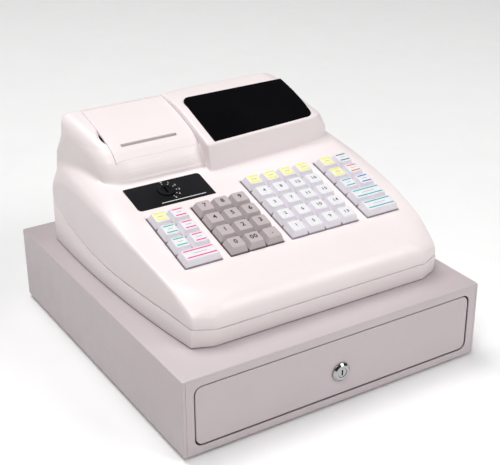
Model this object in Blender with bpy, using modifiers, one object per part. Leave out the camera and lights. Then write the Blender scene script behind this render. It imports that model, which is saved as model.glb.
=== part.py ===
"""Electronic cash register standing on its steel cash drawer.

The model is in metres, +Z up, with the operator at -Y.  The origin is the
middle of the footprint, on the table under the rubber feet.  Sizes below are
in millimetres and are turned into metres when a mesh is made.
"""
import math

import bmesh
import bpy
from mathutils import Matrix, Vector

MM = 0.001
GAP = 0.3                      # clearance between touching pieces

# ---------------------------------------------------------------- drawer case
CASE_WIDTH = 330.0
CASE_DEPTH = 356.6
CASE_HEIGHT = 78.75
SHEET = 1.2                    # steel sheet
FOOT_HEIGHT = 4.0
FOOT_RADIUS = 9.0
LOCK_PROUD = 3.0               # lock bezel in front of the drawer panel
CASE_FRONT = -(CASE_DEPTH - LOCK_PROUD) / 2
CASE_BACK = CASE_FRONT + CASE_DEPTH
CASE_BOTTOM = FOOT_HEIGHT
CASE_TOP = CASE_BOTTOM + CASE_HEIGHT
FRAME_SIDE = 11.0
FRAME_TOP = 9.0
FRAME_BOTTOM = 8.0
DOOR_GAP = 1.6
DOOR_RADIUS = 7.0
DOOR_DEPTH = 9.0

# -------------------------------------------------------------- drawer inside
TRAY_HALF = 148.0
TRAY_SHEET = 1.2
TRAY_BOTTOM = CASE_BOTTOM + FRAME_BOTTOM + 0.8
TRAY_TOP = 62.0
TRAY_FRONT = CASE_FRONT + DOOR_DEPTH + GAP
TRAY_BACK = CASE_FRONT + 320.5
LIP_Z = 30.0                   # underside of the tray's running lip
LIP_REACH = 5.2
ROLLER_RADIUS = 6.0
ROLLER_WIDTH = 3.6
TILL_HALF = 145.5
TILL_FRONT = TRAY_FRONT + 18.0
TILL_BACK = TRAY_BACK - 4.0
TILL_TOP = 60.0
TILL_WALL = 2.2
CUP_DEPTH = 58.0
NOTE_BAYS = 4
ROD_Z = 53.0
ROD_RADIUS = 2.0
CLIP_LENGTH = 76.0
CLIP_DROOP = math.radians(27.4)
LOCK_X = 0.6
LOCK_Z = CASE_BOTTOM + 33.6
LOCK_RADIUS = 9.5
LOCK_BARREL = 7.5
PLUG_RADIUS = 4.6
CAM_LENGTH = 40.0
STRIKE_HALF = 4.0              # half-width of the tray's strike
STRIKE_REACH = (14.5, 16.5)    # front and back of its upright tab, behind the tray
STRIKE_Z = (15.0, 17.0, 30.0)  # underside, floor and top of the strike
LATCH_PIVOT = (8.5, CASE_FRONT + 346.0)
LATCH_REST = math.radians(12.0)
LATCH_Z = (24.0, 26.5)

# ----------------------------------------------------------- register housing
BODY_X = 5.0                   # middle of the register across the drawer
BODY_SHIFT = CASE_FRONT + CASE_DEPTH / 2     # drawer's middle, front to back
BODY_FRONT = -147.0
BODY_BACK = 141.0
BASE_LIFT = 1.0                # shadow gap over the drawer
WALL = 2.6
SEAM = 1.5                     # shadow groove between base and cover
SEAM_DEPTH = 1.4
DECK_HEIGHT = 80.0             # deck plane above the drawer at the middle
DECK_ANGLE = math.radians(15.0)
NOSE_RADIUS = 25.0
FACET_WIDTH = 19.2
FACET_DEPTH = 8.4
LEVEL_HEIGHT = 92.0            # body's top behind the deck
RIDGE_Y = 130.0
RIDGE_HEIGHT = 141.5
BACK_LEAN = 9.0
BACK_STEP = 1.2                # the domes' back stands in from the cover's
DOME_STEP = 0.25               # the printer dome stands in from the display dome

# ------------------------------------------------------------------- printer
PRINTER_LEFT = -124.0
PRINTER_FLARE = 0.139          # left face runs outwards to the back
PRINTER_FOOT = 37.5
PRINTER_CORNER = (26.0, 18.5)
PRINTER_SHOULDER = 14.0
PRINTER_OUTLINE = ((0, 0), (1.5, 8), (5.5, 17), (12.5, 23.2), (24, 29.2), (39, 35.2),
                   (54, 40), (74, 45.2), (92.5, 48.9))
PRINTER_BASE = 90.0            # height at which that outline starts
LID_LEFT = -109.0
LID_RIGHT = -17.0
LID_FRONT = 48.4
LID_BACK = 125.6
LID_HINGE = (124.0, 137.0)
SLIT = (-97.0, -35.0, 60.3, 63.6)
ROLL_RADIUS = 22.0
ROLL_CENTRE = (96.0, 93.0)
ROLL_HALF = 28.5
ROLL_X = -66.0
PLATEN_RADIUS = 5.0
PLATEN_CENTRE = (65.5, 106.5)

# ------------------------------------------------------------------- display
DISPLAY_LEFT = -16.0
DISPLAY_RIGHT = 139.0
DISPLAY_SHOULDER = 13.0
DISPLAY_CORNER = (26.0, 13.0)
DISPLAY_SLOPE = math.radians(20.0)
WINDOW = (-6.0, 118.0, 34.5, 104.0)
WINDOW_BOW = 6.0
WINDOW_RADIUS = 8.0
WINDOW_THICK = 1.6

# ------------------------------------------------------------------ keyboard
PITCH = 19.55
KEY_BASE = 18.5
KEY_TOP = 14.2
KEY_HEIGHT = 7.6
KEY_SKIRT = 3.0
KEY_TRAVEL = 3.5
FRONT_ROW = -86.9              # front row's middle, measured along the deck
COLUMNS = {"left": (-102.7, 2), "numeric": (-54.8, 3), "department": (12.3, 4), "right": (100.8, 2)}
ROWS = {"left": 4, "numeric": 4, "department": 5, "right": 5}
WELL_MARGIN = 0.9

# ---------------------------------------------------------------- mode panel
MODE_PANEL = (-113.0, -29.5, -6.7, 29.5)     # last two along the deck
MODE_THICK = 1.2
MODE_CENTRE = (-74.0, 14.0)
MODE_RADIUS = 8.5

# ---------------------------------------------------------------- mains inlet
INLET_BOX = (-76.0, -44.0, BODY_BACK + BODY_SHIFT - 24.0, BODY_BACK + BODY_SHIFT + 1.5,
             CASE_TOP + 7.0, CASE_TOP + 29.0)

OBJECT = bpy.data.collections.new("cash_register")
CUTTERS = bpy.data.collections.new("cutters")


# ===================================================================== helpers
def clear_scene():
    for item in list(bpy.data.objects):
        bpy.data.objects.remove(item, do_unlink=True)
    for collection in (OBJECT, CUTTERS):
        bpy.context.scene.collection.children.link(collection)


def finish_material(name, colour, roughness, metallic=0.0):
    material = bpy.data.materials.get(name)
    if material is None:
        material = bpy.data.materials.new(name)
        material.use_nodes = True
        shader = material.node_tree.nodes["Principled BSDF"]
        shader.inputs["Base Color"].default_value = (*colour, 1.0)
        shader.inputs["Roughness"].default_value = roughness
        shader.inputs["Metallic"].default_value = metallic
    return material


PLASTIC = ("warm_white_plastic", (0.87, 0.83, 0.82), 0.42)
PAINT = ("drawer_paint", (0.74, 0.70, 0.69), 0.55, 0.0)
STEEL = ("zinc_steel", (0.62, 0.62, 0.60), 0.38, 1.0)
CHROME = ("chrome", (0.80, 0.80, 0.80), 0.12, 1.0)
DARK = ("black_plastic", (0.03, 0.03, 0.035), 0.45)
GLOSS = ("smoked_window", (0.008, 0.008, 0.010), 0.08)
TILL = ("till_plastic", (0.10, 0.10, 0.11), 0.5)
RUBBER = ("black_rubber", (0.03, 0.03, 0.03), 0.85)
BOARD = ("circuit_board", (0.02, 0.18, 0.07), 0.5)
PAPER = ("thermal_paper", (0.90, 0.90, 0.88), 0.8)
GREY_KEY = ("grey_key", (0.52, 0.47, 0.46), 0.45)
CLEAR_KEY = ("lilac_key", (0.80, 0.77, 0.86), 0.25)


def add_object(name, mesh, finish, pivot=(0.0, 0.0, 0.0)):
    """Put a mesh made in object-space millimetres into the scene with its origin on the pivot."""
    origin = Vector(pivot) * MM
    mesh.transform(Matrix.Scale(MM, 4))
    mesh.transform(Matrix.Translation(-origin))
    body = bpy.data.objects.new(name, mesh)
    body.location = origin
    mesh.materials.append(finish_material(*finish))
    OBJECT.objects.link(body)
    return body


def add_cutter(name, mesh):
    mesh.transform(Matrix.Scale(MM, 4))
    cutter = bpy.data.objects.new(name, mesh)
    cutter.hide_render = True
    cutter.display_type = "WIRE"
    CUTTERS.objects.link(cutter)
    return cutter


def to_mesh(build, name="shape"):
    """Write a bmesh, with its faces turned outwards, to a new mesh."""
    bmesh.ops.recalc_face_normals(build, faces=build.faces)
    mesh = bpy.data.meshes.new(name)
    build.to_mesh(mesh)
    build.free()
    return mesh


def box_mesh(x0, x1, y0, y1, z0, z1):
    build = bmesh.new()
    bmesh.ops.create_cube(build, size=1.0)
    size = Vector((x1 - x0, y1 - y0, z1 - z0))
    middle = Vector((x0 + x1, y0 + y1, z0 + z1)) / 2
    build.transform(Matrix.Translation(middle) @ Matrix.Diagonal((*size, 1.0)))
    return to_mesh(build)


def boxes_mesh(boxes):
    """Several boxes that don't touch, in one mesh, for a cutter."""
    build = bmesh.new()
    for x0, x1, y0, y1, z0, z1 in boxes:
        middle = Vector((x0 + x1, y0 + y1, z0 + z1)) / 2
        size = Vector((x1 - x0, y1 - y0, z1 - z0))
        place = Matrix.Translation(middle) @ Matrix.Diagonal((*size, 1.0))
        bmesh.ops.create_cube(build, size=1.0, matrix=place)
    return to_mesh(build)


def axis_matrix(axis):
    """Turn the Z axis onto the named axis."""
    turns = {"x": Matrix.Rotation(math.pi / 2, 4, "Y"), "y": Matrix.Rotation(-math.pi / 2, 4, "X")}
    return turns.get(axis, Matrix.Identity(4))


def rod_mesh(centre, radius, length, axis="z", segments=24, end_radius=None):
    build = bmesh.new()
    top = radius if end_radius is None else end_radius
    bmesh.ops.create_cone(build, cap_ends=True, segments=segments,
                          radius1=radius, radius2=top, depth=length)
    build.transform(Matrix.Translation(Vector(centre)) @ axis_matrix(axis))
    return to_mesh(build)


def loft_mesh(rings):
    """Skin closed rings that have the same number of points, and close both ends."""
    build = bmesh.new()
    loops = [[build.verts.new(point) for point in ring] for ring in rings]
    count = len(rings[0])
    for near, far in zip(loops, loops[1:]):
        for i in range(count):
            j = (i + 1) % count
            build.faces.new((near[i], near[j], far[j], far[i]))
    build.faces.new(loops[0])
    build.faces.new(loops[-1])
    bmesh.ops.triangulate(build, faces=build.faces, ngon_method="EAR_CLIP")
    return to_mesh(build)


def turned_mesh(profile, centre, axis="z", segments=24):
    """Turn an (radius, height) outline, given down its outer side, into a closed ring or disc."""
    holder = bpy.data.meshes.new("profile")
    points = [(radius * MM, 0.0, height * MM) for radius, height in profile]
    edges = [(i, i + 1) for i in range(len(points) - 1)]
    if profile[0] == profile[-1]:
        points.pop()
        edges[-1] = (len(points) - 1, 0)
    holder.from_pydata(points, edges, [])
    turner = bpy.data.objects.new("turner", holder)
    bpy.context.scene.collection.objects.link(turner)
    screw = turner.modifiers.new("turn", "SCREW")
    screw.axis = "Z"
    screw.steps = screw.render_steps = segments
    screw.use_merge_vertices = True
    screw.merge_threshold = 0.00001
    bpy.context.view_layer.update()
    evaluated = turner.evaluated_get(bpy.context.evaluated_depsgraph_get())
    mesh = bpy.data.meshes.new_from_object(evaluated)
    bpy.data.objects.remove(turner, do_unlink=True)
    mesh.transform(Matrix.Scale(1.0 / MM, 4))
    build = bmesh.new()
    build.from_mesh(mesh)
    build.transform(Matrix.Translation(Vector(centre)) @ axis_matrix(axis))
    return to_mesh(build)


def rounded_outline(x0, x1, y0, y1, radii, steps=4):
    """Counter-clockwise outline from the lower left corner, with one radius for each corner."""
    corners = ((x0, y0, 180), (x1, y0, 270), (x1, y1, 0), (x0, y1, 90))
    signs = ((1, 1), (-1, 1), (-1, -1), (1, -1))
    outline = []
    for (x, y, start), (sx, sy), radius in zip(corners, signs, radii):
        if radius <= 0:
            outline.append((x, y))
            continue
        for k in range(steps + 1):
            angle = math.radians(start + 90.0 * k / steps)
            outline.append((x + sx * radius + radius * math.cos(angle),
                            y + sy * radius + radius * math.sin(angle)))
    return outline


def plate_mesh(outline, low, high, place=None):
    """Flat plate: a filled 2D curve with an extrude of half its thickness."""
    curve = bpy.data.curves.new("outline", "CURVE")
    curve.dimensions = "2D"
    curve.fill_mode = "BOTH"
    curve.extrude = (high - low) / 2 * MM
    spline = curve.splines.new("POLY")
    spline.points.add(len(outline) - 1)
    for point, (x, y) in zip(spline.points, outline):
        point.co = (x * MM, y * MM, 0.0, 1.0)
    spline.use_cyclic_u = True
    holder = bpy.data.objects.new("outline", curve)
    bpy.context.scene.collection.objects.link(holder)
    bpy.context.view_layer.update()
    evaluated = holder.evaluated_get(bpy.context.evaluated_depsgraph_get())
    mesh = bpy.data.meshes.new_from_object(evaluated)
    bpy.data.objects.remove(holder, do_unlink=True)
    build = bmesh.new()
    build.from_mesh(mesh)
    bmesh.ops.remove_doubles(build, verts=build.verts, dist=0.000001)
    build.transform(Matrix.Scale(1.0 / MM, 4))
    build.transform(Matrix.Translation((0.0, 0.0, (low + high) / 2)))
    if place is not None:
        build.transform(place)
    return to_mesh(build)


def bevel(body, width, segments=2, angle=40.0):
    rounding = body.modifiers.new("rounding", "BEVEL")
    rounding.width = width * MM
    rounding.segments = segments
    rounding.limit_method = "ANGLE"
    rounding.angle_limit = math.radians(angle)


def boolean(body, other, operation):
    step = body.modifiers.new(operation.lower(), "BOOLEAN")
    step.operation = operation
    step.solver = "EXACT"
    step.object = other


def cut(body, mesh, name):
    boolean(body, add_cutter(name, mesh), "DIFFERENCE")


def join(body, mesh, name):
    boolean(body, add_cutter(name, mesh), "UNION")


def set_solver(body, solver):
    for step in body.modifiers:
        if step.type == "BOOLEAN":
            step.solver = solver


def smooth(body, angle=35.0):
    body.data.shade_smooth()
    body.data.set_sharp_from_angle(angle=math.radians(angle))


def spread(low, high, count):
    """Evenly spaced values from low to high, both included."""
    return [low + (high - low) * k / (count - 1) for k in range(count)]


def round_in(distance, radius):
    """How far a quarter-round edge falls back at this distance from its outer face."""
    if distance >= radius:
        return 0.0
    return radius - math.sqrt(radius ** 2 - (radius - max(distance, 0.0)) ** 2)


def between(value, points):
    """Straight-line reading of a short outline of (position, value) points."""
    for (x0, y0), (x1, y1) in zip(points, points[1:]):
        if value <= x1:
            return y0 + (y1 - y0) * (value - x0) / (x1 - x0)
    return points[-1][1]


def body_point(x, y, height):
    """A point of the register: y from the drawer's middle, height above the drawer."""
    return (x, y + BODY_SHIFT, height + CASE_TOP)


# ============================================================ register surfaces
EDGE_HEIGHTS = ((-147, 21.0), (-138.6, 27.0), (-121, 41.2), (-107, 49.1), (-81, 57.6), (-57, 63.6),
                (-33, 68.4), (0, 73.8), (33, 79.3), (64, 82.8), (97, 81.8), (121, 74.4), (131, 66.0),
                (141, 50.0))


def half_width(y):
    """Half the register's width; its sides bow and its front corners are cut off."""
    u = y / 122.2
    width = 150.3 + 5.02 * u - 5.63 * u * u
    facet = max(0.0, (BODY_FRONT + FACET_DEPTH - y) / FACET_DEPTH)
    return width - FACET_WIDTH * facet - round_in(BODY_BACK - y, 9.0)


def seam_height(y):
    """The base and the cover meet along this line, which rises to the back."""
    rise = 0.00096 * max(0.0, y + 22.0) ** 2
    dip = 3.0 * max(0.0, (-90.0 - y) / 57.0) ** 2
    return 22.5 + rise - dip


def deck_height(y):
    return DECK_HEIGHT + y * math.tan(DECK_ANGLE)


def body_stations(inset=0.0):
    """Cross-section places (y, middle height): nose arc, deck, level top and rounded back."""
    centre_y = BODY_FRONT + NOSE_RADIUS
    start = deck_height(BODY_FRONT) - NOSE_RADIUS * math.tan((math.pi / 2 - DECK_ANGLE) / 2)
    radius = NOSE_RADIUS - inset
    stations = []
    for angle in spread(0.0, math.pi / 2 - DECK_ANGLE, 6):
        stations.append((centre_y - radius * math.cos(angle), start + radius * math.sin(angle)))
    for y in (-107.0, -81.0, -57.0, -33.0, 0.0, 20.0, 36.0):
        stations.append((y, deck_height(y) - inset))
    for y in (50.0, 64.0, 80.0, 97.0, 110.0, 121.0):
        stations.append((y, LEVEL_HEIGHT - inset))
    back_radius = 14.0 - inset
    for angle in spread(math.radians(20.0), math.pi / 2, 4):
        stations.append((BODY_BACK - 14.0 + back_radius * math.sin(angle),
                         LEVEL_HEIGHT - 14.0 + back_radius * math.cos(angle)))
    return stations


def half_section(y, middle, bottom, inset=0.0):
    """Right half of a cross-section, from its foot to the middle: wall, rounded edge and crown."""
    wall = half_width(y) - inset
    edge = min(between(y, EDGE_HEIGHTS) - inset, middle - 0.4)
    crown_width = 24.0
    slope = 2.0 * (middle - edge) / crown_width
    turn = math.pi / 2 - math.atan(slope)
    radius = min(3.6, max(0.5, (edge - bottom) * 0.6))
    base = edge - radius * math.sin(turn)
    points = [(wall, bottom), (wall, base)]
    for angle in (turn / 3, 2 * turn / 3, turn):
        points.append((wall - radius + radius * math.cos(angle), base + radius * math.sin(angle)))
    reach = radius - radius * math.cos(turn)
    for share in (0.15, 0.35, 0.65, 1.0):
        x = wall - reach - share * (crown_width - reach)
        points.append((x, edge + (middle - edge) * (1.0 - (1.0 - share) ** 2)))
    return points


def body_ring(y, middle, bottom, inset=0.0):
    half = half_section(y, middle, bottom, inset)
    right = [body_point(BODY_X + x, y, h) for x, h in half]
    left = [body_point(BODY_X - x, y, h) for x, h in reversed(half)]
    return right + left


def cover_body(inset=0.0, drop=0.0):
    """The cover's main form, down to the seam or, for its hollow, below it."""
    rings = []
    for y, middle in body_stations(inset):
        rings.append(body_ring(y, middle, seam_height(y) + SEAM / 2 - drop, inset))
    return loft_mesh(rings)


def printer_foot(depth):
    """Front foot of the printer dome at this distance in from its left face."""
    across, back = PRINTER_CORNER
    if depth >= across:
        return PRINTER_FOOT
    return PRINTER_FOOT + back - back * math.sqrt(1.0 - ((across - depth) / across) ** 2)


def printer_left(y):
    return PRINTER_LEFT - PRINTER_FLARE * (y - PRINTER_FOOT - PRINTER_CORNER[1])


def printer_top(x, y):
    """Height of the printer dome's skin."""
    depth = x - printer_left(y)
    foot = printer_foot(depth)
    outline_length = PRINTER_OUTLINE[-1][0]
    along = (y - foot) * outline_length / (RIDGE_Y - foot)
    return PRINTER_BASE + between(max(0.0, along), PRINTER_OUTLINE) - round_in(depth, PRINTER_SHOULDER)


def ridge_profile(drop, back_in, floor):
    """The common ridge and the leaning back, down to the floor."""
    back = BODY_BACK - back_in
    crest = back - BACK_LEAN
    return [(crest - 5.0, RIDGE_HEIGHT - 0.6 - drop), (crest - 1.5, RIDGE_HEIGHT - 1.4 - drop),
            (crest, RIDGE_HEIGHT - 4.5 - drop), (back - BACK_STEP, LEVEL_HEIGHT - 16.0),
            (back - BACK_STEP - 1.5, floor)]


def printer_dome(inset=0.0, floor=70.0):
    """Loft from left to right; the left shoulder is rounded."""
    rings = []
    depths = [inset + step for step in (0.0, 1.0, 3.5, 7.5, 14.0, 26.0)]
    for depth in depths + [DISPLAY_LEFT - PRINTER_LEFT + 22.0]:
        local = depth - inset
        foot = printer_foot(local) + inset
        drop = round_in(local, PRINTER_SHOULDER - inset) + inset
        stretch = (RIDGE_Y - foot) / PRINTER_OUTLINE[-1][0]
        profile = [(foot, floor)]
        profile += [(foot + y * stretch, PRINTER_BASE + h - drop) for y, h in PRINTER_OUTLINE[:-1]]
        profile += ridge_profile(drop + DOME_STEP, round_in(local, 7.0) + inset + DOME_STEP, floor)
        rings.append([body_point(printer_left(y) + depth, y, h) for y, h in profile])
    return loft_mesh(rings)


def display_corner(x):
    across, back = DISPLAY_CORNER
    beyond = max(0.0, x - (DISPLAY_RIGHT - across)) / across
    return back - back * math.sqrt(max(0.0, 1.0 - beyond ** 2))


def display_foot(x):
    return 25.0 + 0.082 * (x - 5.7) + display_corner(x)


def display_brow(x):
    """Where the display's face ends and its slope starts."""
    return WINDOW[2] - 1.6 + WINDOW_BOW * (x - WINDOW[0]) / (WINDOW[1] - WINDOW[0]) + display_corner(x)


def display_plane(y):
    return 101.5 + y * math.tan(DISPLAY_SLOPE)


def display_dome(inset=0.0, floor=70.0):
    """Loft from left to right; small left corner, round right shoulder."""
    rings = []
    left = DISPLAY_LEFT + inset
    right = DISPLAY_RIGHT - inset
    places = [left, left + 0.8, left + 2.5, 0.0, 46.0, 86.0, DISPLAY_RIGHT - 26.0]
    places += [right - step for step in (13.0, 8.0, 4.5, 1.6, 0.0)]
    for x in places:
        drop = inset + round_in(x - left, 2.5) + round_in(right - x, DISPLAY_SHOULDER - inset)
        forward = min(x + inset, DISPLAY_RIGHT) if x > 0.0 else x
        foot = display_foot(forward) + inset
        brow = display_brow(forward) + inset
        back_in = inset + round_in(right - x, 7.0)
        profile = [(foot, floor), (foot, LEVEL_HEIGHT - 6.0),
                   (brow - 0.9, display_plane(brow) - 3.2 - drop),
                   (brow, display_plane(brow) - 0.9 - drop),
                   (brow + 1.8, display_plane(brow + 1.8) - drop),
                   (106.0, display_plane(106.0) - drop), (116.0, RIDGE_HEIGHT - 0.9 - drop)]
        profile += ridge_profile(drop, back_in, floor)
        rings.append([body_point(x, y, h) for y, h in profile])
    return loft_mesh(rings)


def deck_matrix(y_along=0.0):
    """Frame on the deck: X across, Y up the slope, Z out of it."""
    origin = Vector(body_point(0.0, 0.0, DECK_HEIGHT))
    turn = Matrix.Rotation(DECK_ANGLE, 4, "X")
    return Matrix.Translation(origin) @ turn @ Matrix.Translation((0.0, y_along, 0.0))


def mode_place():
    """Frame on the deck at the middle of the mode lock."""
    return deck_matrix() @ Matrix.Translation((*MODE_CENTRE, 0.0))


def display_matrix():
    """Frame on the display's slope, with its Y axis up the slope from y = 0."""
    origin = Vector(body_point(0.0, 0.0, display_plane(0.0)))
    return Matrix.Translation(origin) @ Matrix.Rotation(DISPLAY_SLOPE, 4, "X")


def window_outline(shrink=0.0):
    """Two corners are round and two are sharp; the lower edge runs back to the right."""
    x0, x1, y0, y1 = WINDOW
    scale = 1.0 / math.cos(DISPLAY_SLOPE)
    outline = []
    for x, y in rounded_outline(x0, x1, y0, y1, (0.0, WINDOW_RADIUS, 0.0, WINDOW_RADIUS)):
        lower = (y1 - y) / (y1 - y0)
        y += WINDOW_BOW * lower * (x - x0) / (x1 - x0)
        middle_x = (x0 + x1) / 2
        middle_y = (y0 + y1) / 2
        x += shrink if x < middle_x else -shrink
        y += shrink if y < middle_y else -shrink
        outline.append((x, y * scale))
    return outline


# =================================================================== the drawer
def drawer_case():
    half = CASE_WIDTH / 2
    shell = box_mesh(-half, half, CASE_FRONT, CASE_BACK, CASE_BOTTOM, CASE_TOP)
    body = add_object("drawer_case", shell, PAINT)
    bevel(body, 2.0, 2)
    inside = box_mesh(-half + SHEET, half - SHEET, CASE_FRONT + SHEET, CASE_BACK - SHEET,
                      CASE_BOTTOM + SHEET, CASE_TOP - SHEET)
    cut(body, inside, "case_inside")
    outline = rounded_outline(-half + FRAME_SIDE, half - FRAME_SIDE, CASE_BOTTOM + FRAME_BOTTOM,
                              CASE_TOP - FRAME_TOP, (DOOR_RADIUS + 1.0,) * 4)
    upright = Matrix.Rotation(math.pi / 2, 4, "X")
    cut(body, plate_mesh(outline, -CASE_FRONT - 12.0, -CASE_FRONT + 5.0, upright), "case_mouth")


def rubber_feet():
    for side, x in (("left", -1), ("right", 1)):
        for end, y in (("front", CASE_FRONT + 30.0), ("rear", CASE_BACK - 30.0)):
            centre = (x * (CASE_WIDTH / 2 - 30.0), y, (FOOT_HEIGHT - GAP / 10) / 2)
            mesh = rod_mesh(centre, FOOT_RADIUS, FOOT_HEIGHT - GAP / 10, segments=20)
            smooth(add_object(f"foot_{end}_{side}", mesh, RUBBER))


def drawer_front():
    """Folded front panel with its edges turned back, and the lock's hole."""
    half = CASE_WIDTH / 2 - FRAME_SIDE - DOOR_GAP
    low = CASE_BOTTOM + FRAME_BOTTOM + DOOR_GAP
    high = CASE_TOP - FRAME_TOP - DOOR_GAP
    upright = Matrix.Rotation(math.pi / 2, 4, "X")
    outline = rounded_outline(-half, half, low, high, (DOOR_RADIUS,) * 4)
    face = -CASE_FRONT - 0.2
    body = add_object("drawer_front", plate_mesh(outline, face - DOOR_DEPTH, face, upright), PAINT)
    bevel(body, 0.8, 1, 60.0)
    inner = rounded_outline(-half + SHEET, half - SHEET, low + SHEET, high - SHEET,
                            (DOOR_RADIUS - SHEET,) * 4)
    cut(body, plate_mesh(inner, face - DOOR_DEPTH - 2.0, face - SHEET, upright), "front_hollow")
    hole = rod_mesh((LOCK_X, CASE_FRONT, LOCK_Z), LOCK_BARREL + GAP, 20.0, "y")
    cut(body, hole, "front_lock_hole")


def drawer_tray():
    """Sheet tray with a running lip along each side and a strike at the back."""
    body = add_object("drawer_tray", box_mesh(-TRAY_HALF, TRAY_HALF, TRAY_FRONT, TRAY_BACK,
                                              TRAY_BOTTOM, TRAY_TOP), STEEL)
    lips = []
    for side in (-1, 1):
        edge = sorted((side * (TRAY_HALF - 0.5), side * (TRAY_HALF + LIP_REACH)))
        lips.append((edge[0], edge[1], TRAY_FRONT, TRAY_BACK - 14.0, LIP_Z, LIP_Z + TRAY_SHEET))
    near, far = (TRAY_BACK + reach for reach in STRIKE_REACH)
    low, level, high = STRIKE_Z
    lips.append((-STRIKE_HALF, STRIKE_HALF, TRAY_BACK - 1.0, far, low, level))
    join(body, boxes_mesh(lips), "tray_lips")
    tab = box_mesh(-STRIKE_HALF, STRIKE_HALF, near, far, level - 1.0, high)
    join(body, tab, "tray_strike")
    inside = box_mesh(-TRAY_HALF + TRAY_SHEET, TRAY_HALF - TRAY_SHEET, TRAY_FRONT + TRAY_SHEET,
                      TRAY_BACK - TRAY_SHEET, TRAY_BOTTOM + TRAY_SHEET, TRAY_TOP + 5.0)
    cut(body, inside, "tray_inside")
    hole = rod_mesh((LOCK_X, TRAY_FRONT, LOCK_Z), LOCK_BARREL + GAP, 10.0, "y")
    cut(body, hole, "tray_lock_hole")


def bay_edges():
    """Left and right edges of the till's bays."""
    width = (2 * TILL_HALF - (NOTE_BAYS + 1) * TILL_WALL) / NOTE_BAYS
    starts = [-TILL_HALF + TILL_WALL + k * (width + TILL_WALL) for k in range(NOTE_BAYS)]
    return [(start, start + width) for start in starts]


def till_rows():
    """Front and back edges of the two rows of coin cups and the row of note bays."""
    first = TILL_FRONT + TILL_WALL
    second = first + CUP_DEPTH + TILL_WALL
    notes = second + CUP_DEPTH + TILL_WALL
    return [(first, first + CUP_DEPTH), (second, second + CUP_DEPTH), (notes, TILL_BACK - TILL_WALL)]


def rod_y():
    return TILL_BACK - 14.0


def cash_till():
    """Moulded insert: note bays at the back, two rows of scooped coin cups in front."""
    floor = TRAY_BOTTOM + TRAY_SHEET + GAP
    block = box_mesh(-TILL_HALF, TILL_HALF, TILL_FRONT, TILL_BACK, floor, TILL_TOP)
    body = add_object("cash_till", block, TILL)
    rows = till_rows()
    above = TILL_TOP + 5.0
    bays = [(x0, x1, rows[2][0], rows[2][1], floor + TILL_WALL, above) for x0, x1 in bay_edges()]
    cut(body, boxes_mesh(bays), "note_bays")
    build = bmesh.new()
    cup_floor = floor + TILL_WALL + 1.0
    scoop = 14.0                       # radius of the cups' front, where coins slide up
    heel = 2.0                         # slant at the cups' back
    for y0, y1 in rows[:2]:
        for x0, x1 in bay_edges():
            ring = [(y0, above), (y0, cup_floor + scoop)]
            for a in (math.radians(30), math.radians(60)):
                ring.append((y0 + scoop - scoop * math.cos(a), cup_floor + scoop - scoop * math.sin(a)))
            ring += [(y0 + scoop, cup_floor), (y1 - heel, cup_floor), (y1, cup_floor + heel), (y1, above)]
            ends = [[build.verts.new((x, y, z)) for y, z in ring] for x in (x0, x1)]
            for i in range(len(ring)):
                j = (i + 1) % len(ring)
                build.faces.new((ends[0][i], ends[0][j], ends[1][j], ends[1][i]))
            for end in ends:
                build.faces.new(end)
    cut(body, to_mesh(build), "coin_cups")
    groove = rod_mesh((0.0, rod_y(), ROD_Z), ROD_RADIUS + GAP, 2 * TILL_HALF - 2.0, "x", 12)
    cut(body, groove, "rod_bearings")


def note_clips():
    rod = rod_mesh((0.0, rod_y(), ROD_Z), ROD_RADIUS, 2 * TILL_HALF - 3.0, "x", 12)
    smooth(add_object("clip_rod", rod, STEEL))
    hub_radius = 4.2
    neck, pad = 5.0, 16.0              # half-widths of the arm and of its foot on the notes
    shoulder, thick = 14.0, 2.4
    for number, (x0, x1) in enumerate(bay_edges(), start=1):
        middle = (x0 + x1) / 2
        pivot = (middle, rod_y(), ROD_Z)
        hinge = Matrix.Translation(pivot) @ Matrix.Rotation(CLIP_DROOP, 4, "X")
        left = [(-neck, 2), (-neck, shoulder - CLIP_LENGTH), (-pad, shoulder - 4 - CLIP_LENGTH),
                (-pad, -CLIP_LENGTH)]
        arm = left + [(-x, y) for x, y in reversed(left)]
        body = add_object(f"note_clip_{number}", plate_mesh(arm, -thick / 2, thick / 2, hinge), TILL, pivot)
        join(body, rod_mesh(pivot, hub_radius, pad, "x", 16), f"clip_hub_{number}")
        cut(body, rod_mesh(pivot, ROD_RADIUS + GAP, 40.0, "x", 12), f"clip_bore_{number}")


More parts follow.
